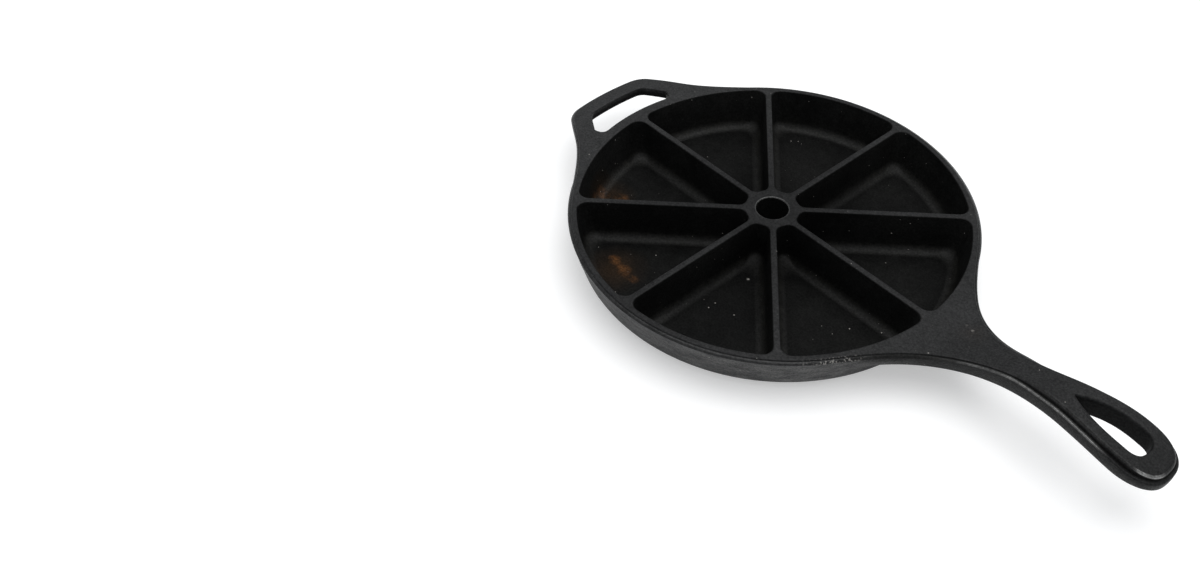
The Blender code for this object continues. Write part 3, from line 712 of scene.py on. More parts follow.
def rows_down_the_wall(last):
    """From the edge's lowest row: the fillet under a handle, the cone and the base corner."""
    radius = np.linalg.norm(last[:, :2], axis=-1)
    way = last[:, :2] / radius[:, None]
    under = last[:, 2]
    a = np.linspace(0.0, math.pi / 2, ROOT_STEPS + 1)[1:, None]
    fillet_z = under - ROOT_FILLET * (1 - np.cos(a))
    wall = wall_radius(fillet_z)
    fillet_r = wall + np.maximum(radius - wall, 0.0) * (1 - np.sin(a))
    t = np.linspace(0.0, 1.0, CONE_STEPS + 1)[1:, None]
    cone_z = fillet_z[-1] * (1 - t) + CORNER_TOP * t
    lowest = math.acos(1 - FLOOR_TOP / BASE_CORNER)
    highest = math.acos(1 - CORNER_TOP / BASE_CORNER)
    corner_z = BASE_CORNER * (1 - np.cos(np.linspace(highest, lowest, CORNER_STEPS + 1)))[1:, None]
    z = np.concatenate([fillet_z, cone_z, corner_z + 0 * under])
    r = np.concatenate([fillet_r, wall_radius(cone_z), wall_radius(corner_z) + 0 * under])
    return np.concatenate([way * r[..., None], z[..., None]], -1)


def make_wall():
    """Pocket side, flat top, edge and outside, joined into one grid and mirrored."""
    side = with_height(look_up_inner(column_angle), section_z)
    edge = edge_rows()
    land = blend(side[-1], edge[0], LAND_ROWS + 2)[1:-1]
    half = np.concatenate([side, land, edge, rows_down_the_wall(edge[-1])])
    grid = np.concatenate([half, flip_y(half[:, -2:0:-1])], 1)
    rows, columns = grid.shape[:2]

    angles = np.concatenate([column_angle, -column_angle[-2:0:-1]])
    kinds = np.concatenate([outer_kind, outer_kind[-2:0:-1]])
    off = np.abs(angles - np.round(angles / SECTOR) * SECTOR)
    at_stub = off < SEAM_ANGLE + NEAR_ANGLE
    hidden = np.zeros((rows, columns), bool)
    hidden[-1] = True
    hidden[:SECTION_ROWS - 1] |= at_stub & np.roll(at_stub, -1)
    first = SECTION_ROWS + LAND_ROWS
    on_cut = kinds == CUT
    hidden[first:first + EDGE_ROWS - 1] |= on_cut | np.roll(on_cut, -1)
    marks = no_marks(rows)
    marks["side"][first + EDGE_ROWS:] = 1.0
    for mark, values in pocket_marks.items():
        marks[mark][:SECTION_ROWS] = values
    for mark, values in edge_marks.items():
        marks[mark][first:first + EDGE_ROWS] = values
    marks["pocket"] = np.repeat(marks["pocket"][:, None], columns, 1)
    # Painted shade: the band darkens towards the neck, and the ledge at the handle's root.
    edge_shade = marks["pocket"][first:first + EDGE_ROWS]
    x = grid[first, :, 0]
    edge_shade[BAND] += NECK_SHADE * np.clip(x / NECK_SHADE_FROM - 1.0, 0.0, 1.0)
    edge_shade[LEDGE] += NECK_SHADE * smooth_step((x - ROOT_START) / ROOT_RUN)
    add_grid("outer_wall", grid, True, True, True, hidden, marks, [0])
    return np.arctan2(grid[-1, :, 1], grid[-1, :, 0])


base_angles = make_wall()
print("outer wall:", parts["outer_wall"]["count"], "points")

# %% [markdown]
# The floor is a turned disc. Its columns stand at the same angles as the wall's, so that the
# two skins share their points where they meet on the base's round corner.

# %% The floor
FLOOR_RINGS = BORE_RADIUS, 0.0400, 0.0800, 0.1035
UNDERSIDE_RINGS = 0.0600, 0.0300
FLOOR_CORNER_ROWS = 8
FLOOR_BORE_ROWS = 4


def make_floor():
    """A profile of radius and height, turned: top, base corner, underside and bore."""
    lowest = math.acos(1 - FLOOR_TOP / BASE_CORNER)
    corner_z = BASE_CORNER * (1 - np.cos(np.linspace(lowest, 0.0, FLOOR_CORNER_ROWS)))
    b = np.linspace(0.0, math.pi / 2, FLOOR_BORE_ROWS)
    radius = np.concatenate([FLOOR_RINGS, wall_radius(corner_z), UNDERSIDE_RINGS,
                             BORE_RADIUS + BORE_ROUND * (1 - np.sin(b))])
    z = np.concatenate([[FLOOR_TOP] * len(FLOOR_RINGS), corner_z, [0.0] * len(UNDERSIDE_RINGS),
                        BORE_ROUND * (1 - np.cos(b))])
    grid = with_height(polar(radius[:, None], base_angles), z)
    inside = (np.arange(len(z)) < len(FLOOR_RINGS)).astype(float)
    add_grid("pan_floor", grid, True, True, True, None, {"pocket": inside, "side": 1 - inside})


make_floor()
print("floor:", parts["pan_floor"]["count"], "points")

# %% [markdown]
# The long handle narrows to a neck, swells beside its eye and ends in a blunt round tip. Its
# top face climbs from the rim and droops to the tip, and its parting line falls behind. This
# could be a subdivided cage, but rounds half a millimetre wide stay truer as formulas. Sizes
# are in metres. Stations such as NECK, SHOULDER and TIP count from the bowl's axis.

# %% The long handle's outline and height
HANDLE_WIDTH = 0.0288
SHOULDER_TO_TIP = 0.0190
TIP_POWER = 2.6
HANDLE_RISE = 0.0138
RISE_RUN = 0.0790
DROOP_RUN = 0.0420
DROOP_AT_TIP = 0.0069
EYE_LENGTH = 0.0396
EYE_BLUNT = 0.0082
EYE_SIDE = 0.0069
EYE_TO_TIP = 0.0119
EYE_BULGE = 2.4
EYE_POWER = 2.8
EYE_ROUND = 0.0014
EYE_DRAFT = math.radians(0.8)
HANDLE_DRAFT = math.radians(4.0)
SIDE_RUN = 0.0550
BELLY_DEPTH = 0.0014
BELLY_RUN = 0.0500
SWELL = 0.0010
TIP_THIN = 0.0030
THIN_RUN = 0.0200
PARTING_FALL = 0.0024
FALL_START = NECK - 0.0105
FALL_RUN = 0.0250
PARTING_LIFT = 0.0010
LIFT_RUN = 0.0120
HANDLE_ROUND = 0.0004
TIP_ROUND = 0.0003
TIP_ROUND_RUN = 0.0350
HANDLE_LEDGE_ROUND = 0.0007
NARROW_RUN = 0.0200
SHOULDER = TIP - SHOULDER_TO_TIP
EYE_HALF = HANDLE_WIDTH / 2 - EYE_SIDE
EYE_END = TIP - EYE_TO_TIP
EYE_START = EYE_END - EYE_LENGTH
NECK_POINTS = 40
SWELL_POINTS = 60
TIP_POINTS = 34
EYE_POINTS = 80


def handle_top(x):
    """Height of the top face: a smooth climb, less the square of the way into the droop."""
    climb = HANDLE_RISE * smooth_step((x - NECK_SEAM) / RISE_RUN)
    past = np.maximum(0.0, (x - TIP) / DROOP_RUN + 1.0)
    return TOP + climb - DROOP_AT_TIP * past * past


def handle_depth(x):
    """Thickness of the handle: a belly along its arch, a swell towards the eye and a thin tip."""
    belly = smooth_step((x - NECK_SEAM) / BELLY_RUN) * (1 - smooth_step((x - NECK) / BELLY_RUN))
    swell = SWELL * smooth_step((x - NECK_SEAM) / RISE_RUN)
    thin = TIP_THIN * smooth_step((x - TIP) / THIN_RUN + 1.0)
    return HANDLE_THICKNESS + BELLY_DEPTH * belly + swell - thin


def handle_outline():
    """Neck curve, a smooth swell to the shoulders, then a blunt superellipse to the tip."""
    neck = resample(neck_outside, NECK_POINTS)
    x = np.linspace(NECK, SHOULDER, SWELL_POINTS)[1:]
    y = (NECK_WIDTH + (HANDLE_WIDTH - NECK_WIDTH) * smooth_step((x - NECK) / (SHOULDER - NECK))) / 2
    u = np.linspace(0.0, math.pi / 2, TIP_POINTS)[1:]
    tip_x = SHOULDER + SHOULDER_TO_TIP * np.sin(u) ** (2 / TIP_POWER)
    tip_y = HANDLE_WIDTH / 2 * np.maximum(np.cos(u), 0.0) ** (2 / TIP_POWER)
    tip_y[-1] = 0.0
    return np.concatenate([neck, np.stack([x, y], -1), np.stack([tip_x, tip_y], -1)])


def eye_outline(count):
    """Half of the teardrop: y = half width (1 - (1 - t) ^ bulge), then a blunt superellipse."""
    length = EYE_LENGTH - EYE_BLUNT
    t = np.linspace(0.0, 1.0, EYE_POINTS)
    side = np.stack([EYE_START + length * t, EYE_HALF * (1 - (1 - t) ** EYE_BULGE)], -1)
    u = np.linspace(0.0, math.pi / 2, EYE_POINTS)[1:]
    end = np.stack([EYE_START + length + EYE_BLUNT * np.sin(u) ** (2 / EYE_POWER),
                    EYE_HALF * np.maximum(np.cos(u), 0.0) ** (2 / EYE_POWER)], -1)
    line = resample(np.concatenate([side, end]), count)
    line[-1, 1] = 0.0
    return line


# %% [markdown]
# The handle's grid has columns along the outline, from the seam to the tip. Its rows run from
# the middle, or from the eye's edge, out to the common edge and back underneath. The edge
# changes on its way: its side grows steeper, the ledge sinks below the top face, and the rounds
# grow or narrow by smooth steps.

# %% The long handle's edge
TOP_ROWS = 8
UNDER_ROWS = 6


def lifted(plan, drop):
    """Plan points on the arched top face, let down by a drop."""
    z = handle_top(plan[..., 0]) - drop
    return np.concatenate([plan, z[..., None]], -1)


def handle_edge(x):
    """The common edge at stations x, with its lean, fall and rounds blended by smooth steps."""
    turn = smooth_step((x - NECK) / SIDE_RUN + 0.5)
    fall = smooth_step((x - FALL_START) / FALL_RUN)
    drop = PARTING_FALL * fall - PARTING_LIFT * smooth_step((x - TIP) / LIFT_RUN + 1.0)
    top_round = EDGE_ROUND + HANDLE_ROUND * fall + TIP_ROUND * smooth_step((x - TIP) / TIP_ROUND_RUN + 1.0)
    slope = WALL_SLOPE * (1 - turn) + math.tan(HANDLE_DRAFT) * turn
    narrow = smooth_step((x - NECK_SEAM) / NARROW_RUN)
    ledge_round = LEDGE_ROUND + (HANDLE_LEDGE_ROUND - LEDGE_ROUND) * narrow
    return edge_section(handle_depth(x), slope, drop, top_round, ledge_round)


# %% [markdown]
# Hands polish a handle where they hold it, and the ridge of its ledge is marked as worn and
# shines from the neck on, with a worn colour that also paints a highlight. One short streak on
# the tip's edge is a painted highlight that shines most. The band over the ledge is painted shade,
# and so are the ledge near the root and the top row of the side under the ridge.

# %% The long handle's marks
SHINE_PLACE = TIP - 0.0041, -0.0100
SHINE_REACH = 0.0040
SHINE_FADE = 0.0045
SHINE = 3.2
RIDGE_SHINE = 0.7
RIDGE_START = NECK - 0.0250
RIDGE_RUN = 0.0250
RIDGE_END = SHOULDER - 0.0144
BAND_SHADE = 1.0
BAND_TOP_SHADE = 0.5
LEDGE_SHADE_END = 0.135
LEDGE_SHADE_RUN = 0.012
SIDE_TOP_SHADE = 0.6


def handle_marks(grid):
    """The edge's marks, point by point, between rows of the top face and of the underside."""
    marks = {mark: np.concatenate([np.zeros(TOP_ROWS), values, np.zeros(UNDER_ROWS)])
             for mark, values in edge_marks.items()}
    marks["side"][-UNDER_ROWS:] = 1.0
    x = grid[..., 0]
    away = np.linalg.norm(grid[..., :2] - SHINE_PLACE, axis=-1)
    # Painted highlight: a streak round one spot on the tip's top edge, with extra gloss.
    tip_highlight = SHINE * (1 - smooth_step((away - SHINE_REACH) / SHINE_FADE))
    ridge = 1 + RIDGE_SHINE * smooth_step((x - RIDGE_START) / RIDGE_RUN)
    past = smooth_step((x - RIDGE_END) / LIFT_RUN)
    marks["worn"] = marks["worn"][:, None] * (1 - past) * ridge
    inner_round = slice(TOP_ROWS + 1, TOP_ROWS + ROUND_ROWS - 1)
    marks["worn"][inner_round] = EDGE_WEAR_AND_HIGHLIGHT + tip_highlight[inner_round]

    marks["pocket"] = np.repeat(marks["pocket"][:, None], grid.shape[1], 1)
    edge = slice(TOP_ROWS, TOP_ROWS + EDGE_ROWS)
    edge_shade, edge_x = marks["pocket"][edge], x[edge]
    # Painted shade: the band, the row above it, the ledge near the root and the side's top row.
    edge_shade[BAND] = BAND_SHADE
    edge_shade[BAND.start - 1] = BAND_TOP_SHADE
    edge_shade[LEDGE] = NECK_SHADE * (1 - smooth_step((edge_x[LEDGE] - LEDGE_SHADE_END) / LEDGE_SHADE_RUN))
    edge_shade[LEDGE.stop - 1] = SIDE_TOP_SHADE
    return marks


# %% [markdown]
# The eye is a teardrop hole. Its edge takes as many columns as the outline beside it, so the
# rows between the two cross the iron squarely. Its wall is a second grid, which shares the
# eye's rounded edges with the first.

# %% The long handle
EYE_WALL_SHADE = 0.8
EYE_ROUND_SHADE = 0.2


def with_ends(points, first_normal):
    """Normals of a line whose first and last ones are set by what they meet."""
    normal = left_normals(points)
    normal[0] = first_normal
    normal[-1] = AHEAD
    return normal


def add_eye_wall(eye, eye_normal, widen):
    """Both quarter rounds and a row halfway: the edge moved out by grow, let down by a share."""
    b = np.linspace(0.0, math.pi / 2, ROUND_ROWS)
    down = np.concatenate([EYE_ROUND * (1 - np.cos(b)), [HANDLE_THICKNESS / 2],
                           HANDLE_THICKNESS - EYE_ROUND * (1 - np.sin(b))]) / HANDLE_THICKNESS
    grow = np.concatenate([EYE_ROUND * (1 - np.sin(b)), [0.0], EYE_ROUND * (1 - np.cos(b))])
    plan = eye + eye_normal * (grow + down * widen)[:, None, None]
    wall = mirrored(lifted(plan, down[:, None] * handle_depth(plan[..., 0])))
    # Painted shade: the eye's wall is darkened, and its top round a little.
    marks = {"pocket": np.full(len(wall), EYE_WALL_SHADE)}
    marks["pocket"][:ROUND_ROWS - 1] = EYE_ROUND_SHADE
    add_grid("long_handle", wall, flip=True, marks=marks)


def make_handle():
    """Rows from the middle or the eye out to the edge, round it and back underneath."""
    outline = handle_outline()
    first = int(np.argmax(outline[:, 0] >= EYE_START))
    eye = eye_outline(len(outline) - first)
    eye_normal = with_ends(eye, -AHEAD)
    widen = HANDLE_THICKNESS * math.tan(EYE_DRAFT)

    def middle(grow):
        """The spine up to the eye, and the eye's edge moved out by grow."""
        rim = eye + eye_normal * grow
        x = NECK_SEAM + (outline[:first, 0] - NECK_SEAM) * (
            (rim[0, 0] - NECK_SEAM) / (outline[first, 0] - NECK_SEAM))
        return np.concatenate([np.stack([x, 0 * x], -1), rim])

    steps = handle_edge(outline[:, 0])
    plan = outline + with_ends(outline, neck_slide) * steps[..., :1]
    plan[..., 0] = np.maximum(plan[..., 0], NECK_SEAM)
    edge = lifted(plan, steps[..., 1])
    top = lifted(blend(middle(EYE_ROUND), plan[0], TOP_ROWS + 1)[:-1], 0.0)
    under_plan = blend(plan[-1], middle(EYE_ROUND + widen), UNDER_ROWS + 1)[1:]
    share = np.linspace(0.0, 1.0, UNDER_ROWS + 1)[1:, None]
    under_drop = steps[-1, :, 1] * (1 - share) + handle_depth(under_plan[-1, :, 0]) * share
    grid = mirrored(np.concatenate([top, edge, lifted(under_plan, under_drop)]))
    start = add_grid("long_handle", grid, marks=handle_marks(grid))
    columns = grid.shape[1]
    loop = start + np.arange(len(grid)) * columns
    parts["long_handle"]["caps"].append(np.concatenate([loop, (loop + columns - 1)[::-1][1:-1]]))
    add_eye_wall(eye, eye_normal, widen)


make_handle()
print("long handle:", parts["long_handle"]["count"], "points")

# %% [markdown]
# The helper is a loop of iron: two arms and a grip bar round a slot. Its section is closed,
# so the grid wraps round its rows. Arms, corners and bar are spaced alike on the outside and
# on the slot's side, so that the rows cross the iron squarely.

# %% The helper handle
HELPER_DROOP = 0.0018
HELPER_CORNER_WIDTH = 0.0097
HELPER_CORNER_PULL = 0.0036
SLOT_GRIP = 0.0103
SLOT_OUTER_HALF = 0.0205
HELPER_BOW = 0.0015
HELPER_COLUMNS = 30, 16, 14
GRIP_POINTS = 30
HELPER_UNDER_ROWS = 3
HELPER_TOP_ROWS = 4
GRIP_HALF = HELPER_HALF - HELPER_CORNER_WIDTH


def grip_edge(middle_x, start_y):
    """The grip's bowed edge down to its middle: x falls with the square of y; and its way."""
    y = np.linspace(start_y, 0.0, GRIP_POINTS)
    way = np.array([2 * HELPER_BOW * start_y / GRIP_HALF ** 2, -1.0])
    line = np.stack([middle_x - HELPER_BOW * (y / GRIP_HALF) ** 2, y], -1)
    return line, way / np.linalg.norm(way)


def helper_outlines():
    """The outer and the slot's side of half of the loop, in three stretches of equal counts."""
    grip, way = grip_edge(GRIP, GRIP_HALF)
    corner = cubic(arm_outside[-1], arm_way, HELPER_CORNER_PULL, grip[0], way, HELPER_CORNER_PULL)
    outer = [arm_outside, corner, grip]

    start = np.array([ARM_SEAM, SLOT_INNER_HALF])
    apex = grip_edge(GRIP - SLOT_GRIP, SLOT_OUTER_HALF)[0][0]
    along = (apex - start) / np.linalg.norm(apex - start)
    grip, way = grip_edge(GRIP - SLOT_GRIP, SLOT_OUTER_HALF - SLOT_CORNER)
    bend = cubic(apex - along * SLOT_CORNER, along, SLOT_PULL, grip[0], way, SLOT_PULL)
    inner = [np.array([start, bend[0]]), bend, grip]
    return [np.concatenate([resample(piece, n + 1)[i > 0:] for i, (piece, n)
                            in enumerate(zip(side, HELPER_COLUMNS))]) for side in (outer, inner)]


def make_helper():
    """Top, edge, underside and slot wall as one closed section, carried along the loop."""
    outer, inner = helper_outlines()
    outer_out = with_ends(outer, arm_slide)
    inner_out = with_ends(inner, [0.0, 1.0])
    steps = edge_section(HELPER_THICKNESS)[:, 0]
    edge = outer + outer_out * steps[:, :1, None]
    b = np.linspace(0.0, math.pi / 2, ROUND_ROWS)
    over = steps[:ROUND_ROWS][::-1]
    slot_reach = np.concatenate([EYE_ROUND * (1 - np.sin(b)), [0.0], -over[:, 0]])
    slot_drop = np.concatenate([HELPER_THICKNESS - EYE_ROUND * (1 - np.cos(b)),
                                [HELPER_THICKNESS / 2], over[:, 1]])
    slot = inner + inner_out * slot_reach[:, None, None]
    under = blend(edge[-1], slot[0], HELPER_UNDER_ROWS + 2)[1:-1]
    top = blend(slot[-1], edge[0], HELPER_TOP_ROWS + 2)[1:-1]
    plan = np.concatenate([edge, under, slot, top])
    drop = np.concatenate([steps[:, 1], [HELPER_THICKNESS] * HELPER_UNDER_ROWS, slot_drop,
                           [0.0] * HELPER_TOP_ROWS])
    plan[..., 0] = np.maximum(plan[..., 0], ARM_SEAM)
    out = (plan[..., 0] - ARM_SEAM) / (GRIP - ARM_SEAM)
    droop = HELPER_DROOP * out ** 2 * (2 - out)
    z = TOP - droop - drop[:, None]
    grid = mirrored(np.concatenate([plan * flip_x, z[..., None]], -1))
    marks = {mark: np.concatenate([values, np.zeros(len(grid) - EDGE_ROWS)])
             for mark, values in edge_marks.items()}
    # Painted shade: the slot's wall is darkened as deep as a pocket.
    marks["pocket"][EDGE_ROWS + HELPER_UNDER_ROWS:-HELPER_TOP_ROWS - ROUND_ROWS] = 1.0
    start = add_grid("helper_handle", grid, True, False, True, None, marks)
    columns = grid.shape[1]
    loop = start + np.arange(len(grid)) * columns
    parts["helper_handle"]["caps"] += [loop[::-1], loop + columns - 1]


make_helper()
print("helper handle:", parts["helper_handle"]["count"], "points")

# %% [markdown]
# The skins are shaded as one surface. Every visible face of every part adds its area to the
# normals of its corners, and corners that share a place share the sum. So a seam between two
# regions doesn't show, and large flat faces keep small rounds crisp. Hidden faces stay flat.

# %% Weld the parts and share their normals
WELD = 2e-6


def face_normals(points, faces):
    """Normal of each quad, as long as twice its area: the cross product of its diagonals."""
    return np.cross(points[faces[:, 2]] - points[faces[:, 0]], points[faces[:, 3]] - points[faces[:, 1]])


def weld(points):
    """Points that share a step of two micrometres share a number. Also the first of each."""
    steps = np.round(points / WELD).astype(np.int64)
    _, first, number = np.unique(steps, axis=0, return_index=True, return_inverse=True)
    return number.ravel(), first


for part in parts.values():
    for key in LISTS:
        part[key] = np.concatenate(part[key])

all_points = np.concatenate([part["points"] for part in parts.values()])
place = weld(all_points)[0]
totals = np.zeros((place.max() + 1, 3))
offset = 0
for part in parts.values():
    shown = part["faces"][~part["hidden"]]
    normal = face_normals(part["points"], shown)
    for corner in range(4):
        np.add.at(totals, place[offset + shown[:, corner]], normal)
    offset += len(part["points"])
shared = totals[place]
shared /= np.maximum(np.linalg.norm(shared, axis=1), 1e-12)[:, None]
print("shared normals at", len(totals), "places")

# %% [markdown]
# Each part becomes a mesh. Equal points of a part are welded, quads that a weld has closed up
# become triangles or vanish, and the shared normals are stored corner by corner. The four marks
# become attributes of the points, which a material can read by name.

# %% Build the meshes


def without_repeats(loop, number):
    """A face's corners, each place once; number tells the place of a corner."""
    kept = []
    for corner in loop:
        if not kept or number[corner] != number[kept[-1]]:
            kept.append(corner)
    if len(kept) > 1 and number[kept[0]] == number[kept[-1]]:
        kept.pop()
    return kept


def faces_and_normals(part, normals, number, first):
    """Faces by place and a normal a corner: its own on hidden faces, up on level ones, or shared."""
    faces, corner_normals = [], []
    flat = face_normals(part["points"], part["faces"])
    flat /= np.maximum(np.linalg.norm(flat, axis=1), 1e-15)[:, None]
    for quad, hidden, own in zip(part["faces"].tolist(), part["hidden"].tolist(), flat):
        loop = without_repeats(quad, number)
        if len(loop) < 3:
            continue
        faces.append([int(number[c]) for c in loop])
        corner_normals += [own if hidden else (UP if part["level"][c] else normals[c]) for c in loop]
    for cap in part["caps"]:
        loop = [int(number[c]) for c in without_repeats(cap, number)]
        ring = part["points"][first[loop]]
        area = np.cross(ring, np.roll(ring, -1, 0)).sum(0)
        faces.append(loop)
        corner_normals += [area / np.linalg.norm(area)] * len(loop)
    return faces, corner_normals


def build(name, part, normals):
    """A mesh with its place in its points, custom normals and the marks as attributes."""
    number, first = weld(part["points"])
    faces, corner_normals = faces_and_normals(part, normals, number, first)
    mesh = bpy.data.meshes.new("cast_" + name)
    mesh.from_pydata((part["points"][first] + [BOWL_X, 0.0, 0.0]).tolist(), [], faces)
    mesh.update()
    for mark in MARKS:
        values = mesh.attributes.new(mark, "FLOAT", "POINT")
        values.data.foreach_set("value", part[mark][first].astype(np.float32))
    mesh.normals_split_custom_set(np.array(corner_normals))
    obj = bpy.data.objects.new("cast_" + name, mesh)
    bpy.context.scene.collection.objects.link(obj)
    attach(obj, "root")
    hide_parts(name)
    return obj


castings = {}
offset = 0
for name, part in parts.items():
    castings[name] = build(name, part, shared[offset:offset + len(part["points"])])
    offset += len(part["points"])
print("pieces:", {name: len(obj.data.polygons) for name, obj in castings.items()})

# %% [markdown]
# Seasoned iron is black oil, baked onto rough grey iron. A plain dark gloss would look like
# plastic, so the finish is built in layers, each from noise in the pan's own coordinates. The
# first cell holds small helpers that add nodes and join them.

# %% Helpers for materials


def node(tree, kind, **settings):
    """Adds a shader node and sets its properties."""
    made = tree.nodes.new(kind)
    for name, value in settings.items():
        setattr(made, name, value)
    return made


def put(tree, socket, value):
    """Links a socket into another one, or sets a plain value."""
    if isinstance(value, bpy.types.NodeSocket):
        tree.links.new(value, socket)
    else:
        socket.default_value = value


def noise(tree, place, scale, detail, roughness=0.55):
    """A noise texture of so many grains a metre."""
    made = node(tree, "ShaderNodeTexNoise")
    made.inputs["Scale"].default_value = scale
    made.inputs["Detail"].default_value = detail
    made.inputs["Roughness"].default_value = roughness
    tree.links.new(place, made.inputs["Vector"])
    return made.outputs["Fac"]


def ramp(tree, value, low, high, to_low=0.0, to_high=1.0):
    """Maps a range of values to another one and holds both ends."""
    made = node(tree, "ShaderNodeMapRange")
    for name, number in (("From Min", low), ("From Max", high), ("To Min", to_low), ("To Max", to_high)):
        made.inputs[name].default_value = number
    tree.links.new(value, made.inputs["Value"])
    return made.outputs["Result"]


def mix(tree, share, first, second, blend_type="MIX"):
    """Mixes two colours by a share; each is a socket or a plain colour."""
    made = node(tree, "ShaderNodeMix", data_type="RGBA", blend_type=blend_type)
    put(tree, made.inputs["Factor"], share)
    put(tree, made.inputs[6], first)
    put(tree, made.inputs[7], second)
    return made.outputs[2]


def combine(tree, operation, first, *others, kind="ShaderNodeMath", output=0):
    """The first value combined with each of the others in turn, by one kind of sum."""
    for other in others:
        made = node(tree, kind, operation=operation)
        put(tree, made.inputs[0], first)
        put(tree, made.inputs[1], other)
        first = made.outputs[output]
    return first


def times(tree, *values):
    """The product of sockets or numbers."""
    return combine(tree, "MULTIPLY", *values)


def plus(tree, *values):
    """The sum of sockets or numbers."""
    return combine(tree, "ADD", *values)


def distance(tree, place, spot):
    """How far a place lies from a spot, in metres."""
    return combine(tree, "DISTANCE", place, spot, kind="ShaderNodeVectorMath", output="Value")


# %% [markdown]
# Three tones make the ground colour. The flat top has been wiped and rubbed, so it is dark
# grey. The pockets hold the thickest seasoning and are nearly black, and their fillets get a
# lighter painted highlight tone. The outer side is painted lighter, as light bounced from the
# floor, with streaks that run along it; it is painted darker towards the helper as painted
# shade, and the long handle keeps mostly the top's tone. A pebbled grain, the print of the sand
# mould, sits on everything.

# %% The tones of the iron
LAND_TONES = (0.0070, 0.0071, 0.0073, 1.0), (0.0115, 0.0116, 0.0119, 1.0)
POCKET_TONES = (0.0050, 0.0051, 0.0050, 1.0), (0.0088, 0.0089, 0.0086, 1.0)
FILLET_HIGHLIGHT_TONE = (0.0090, 0.0089, 0.0076, 1.0)
SIDE_BOUNCE_TONES = (0.0330, 0.0328, 0.0330, 1.0), (0.0950, 0.0940, 0.0920, 1.0)
WORN_AND_HIGHLIGHT_TONE = (0.0500, 0.0490, 0.0460, 1.0)
DUST_AND_GLINT_TONE = (0.4200, 0.4000, 0.3700, 1.0)
RUST_TONES = (0.0420, 0.0190, 0.0080, 1.0), (0.1300, 0.0560, 0.0200, 1.0)
STAIN_TONE = (0.0200, 0.0125, 0.0075, 1.0)
DUST_CELLS = 300.0

# %% [markdown]
# A few marks have a place of their own: rust and brown stains in two pockets, painted glints
# drawn as pale chips on the rim's edge beside the neck, scuffs and specks. Each spot is a ball in
# the pan's own coordinates, so it stays on the iron whatever the camera does. Noise frays its edge.

# %% Spots of rust, stain, painted glints and dust
MILLIMETRES = 1000.0
SPOT_CORE = 0.25
RUST_SPOTS = ((-96.6, -77.3, 3.2, 4.5, 1.0), (-91.5, -78.6, 3.2, 3.5, 0.6), (-86.1, -79.0, 3.2, 5.0, 0.9),
              (-81.0, -80.3, 3.2, 3.5, 0.4), (-77.0, -79.6, 3.2, 3.5, 0.5), (-143.5, -46.6, 4.2, 6.0, 0.7),
              (-132.5, -40.3, 4.2, 6.0, 0.7), (-143.3, -55.4, 6.2, 5.0, 0.5))
STAIN_SPOTS = ((-90.0, -81.0, 3.2, 20.0, 0.9), (-139.0, -45.0, 4.2, 18.0, 0.8), (84.0, 6.0, 28.5, 9.0, 0.2))
GLINT_SPOTS = ((46.0, -58.0, 27.0, 18.0, 0.6),)
SCUFF_SPOTS = ((77.3, 9.1, 28.5, 1.0, 0.3), (81.8, 8.1, 28.5, 1.2, 0.3), (87.7, -3.0, 28.7, 1.4, 0.35))
SPECK_STRENGTH = 0.9
SPECKS = ((-35.4, -31.4, 1.1), (-51.3, -44.0, 0.7), (-21.2, -56.7, 0.6), (-34.3, -63.2, 0.5),
          (-34.4, -58.2, 0.7), (-40.3, -60.9, 0.5), (-50.1, -50.1, 0.6), (-30.4, -7.0, 0.9))
SPECK_SPOTS = tuple((x, y, FLOOR_TOP * MILLIMETRES, radius, SPECK_STRENGTH) for x, y, radius in SPECKS)


def spot_share(tree, place, spots, breaking):
    """How much a place shows of some spots: each fades to its radius, and noise breaks its edge.

    A spot is x, y, z and radius in millimetres, and its strength.
    """
    total = 0.0
    broken = ramp(tree, breaking, 0.36, 0.60, 0.15, 1.0)
    for x, y, z, radius, strength in spots:
        away = distance(tree, place, (x / MILLIMETRES, y / MILLIMETRES, z / MILLIMETRES))
        reach = radius / MILLIMETRES
        near = ramp(tree, away, SPOT_CORE * reach, reach, strength, 0.0)
        total = plus(tree, total, near)
    return combine(tree, "MINIMUM", times(tree, total, broken), 1.0)


def dust_share(tree, place, drift):
    """Small pale specks: the middles of some cells of a Voronoi pattern, in loose clusters."""
    cells = node(tree, "ShaderNodeTexVoronoi")
    cells.inputs["Scale"].default_value = DUST_CELLS
    tree.links.new(place, cells.inputs["Vector"])
    chance = node(tree, "ShaderNodeSeparateColor")
    tree.links.new(cells.outputs["Color"], chance.inputs["Color"])
    size = ramp(tree, chance.outputs[0], 0.4, 1.0, 0.035, 0.120)
    inside = ramp(tree, combine(tree, "DIVIDE", cells.outputs["Distance"], size), 0.7, 1.0, 1.0, 0.0)
    limit = ramp(tree, drift, 0.42, 0.60, 0.88, 0.52)
    shown = ramp(tree, combine(tree, "SUBTRACT", chance.outputs[1], limit), 0.0, 0.2, 0.0, 0.8)
    return times(tree, inside, shown)


# %% [markdown]
# The finish needs the same inputs again and again: the place, the four marks and some noises,
# from drifts three centimetres long down to pits of half a millimetre. They are made once for
# each material and kept together. The streaks are noise that is squeezed along Z.

# %% The inputs of the finish


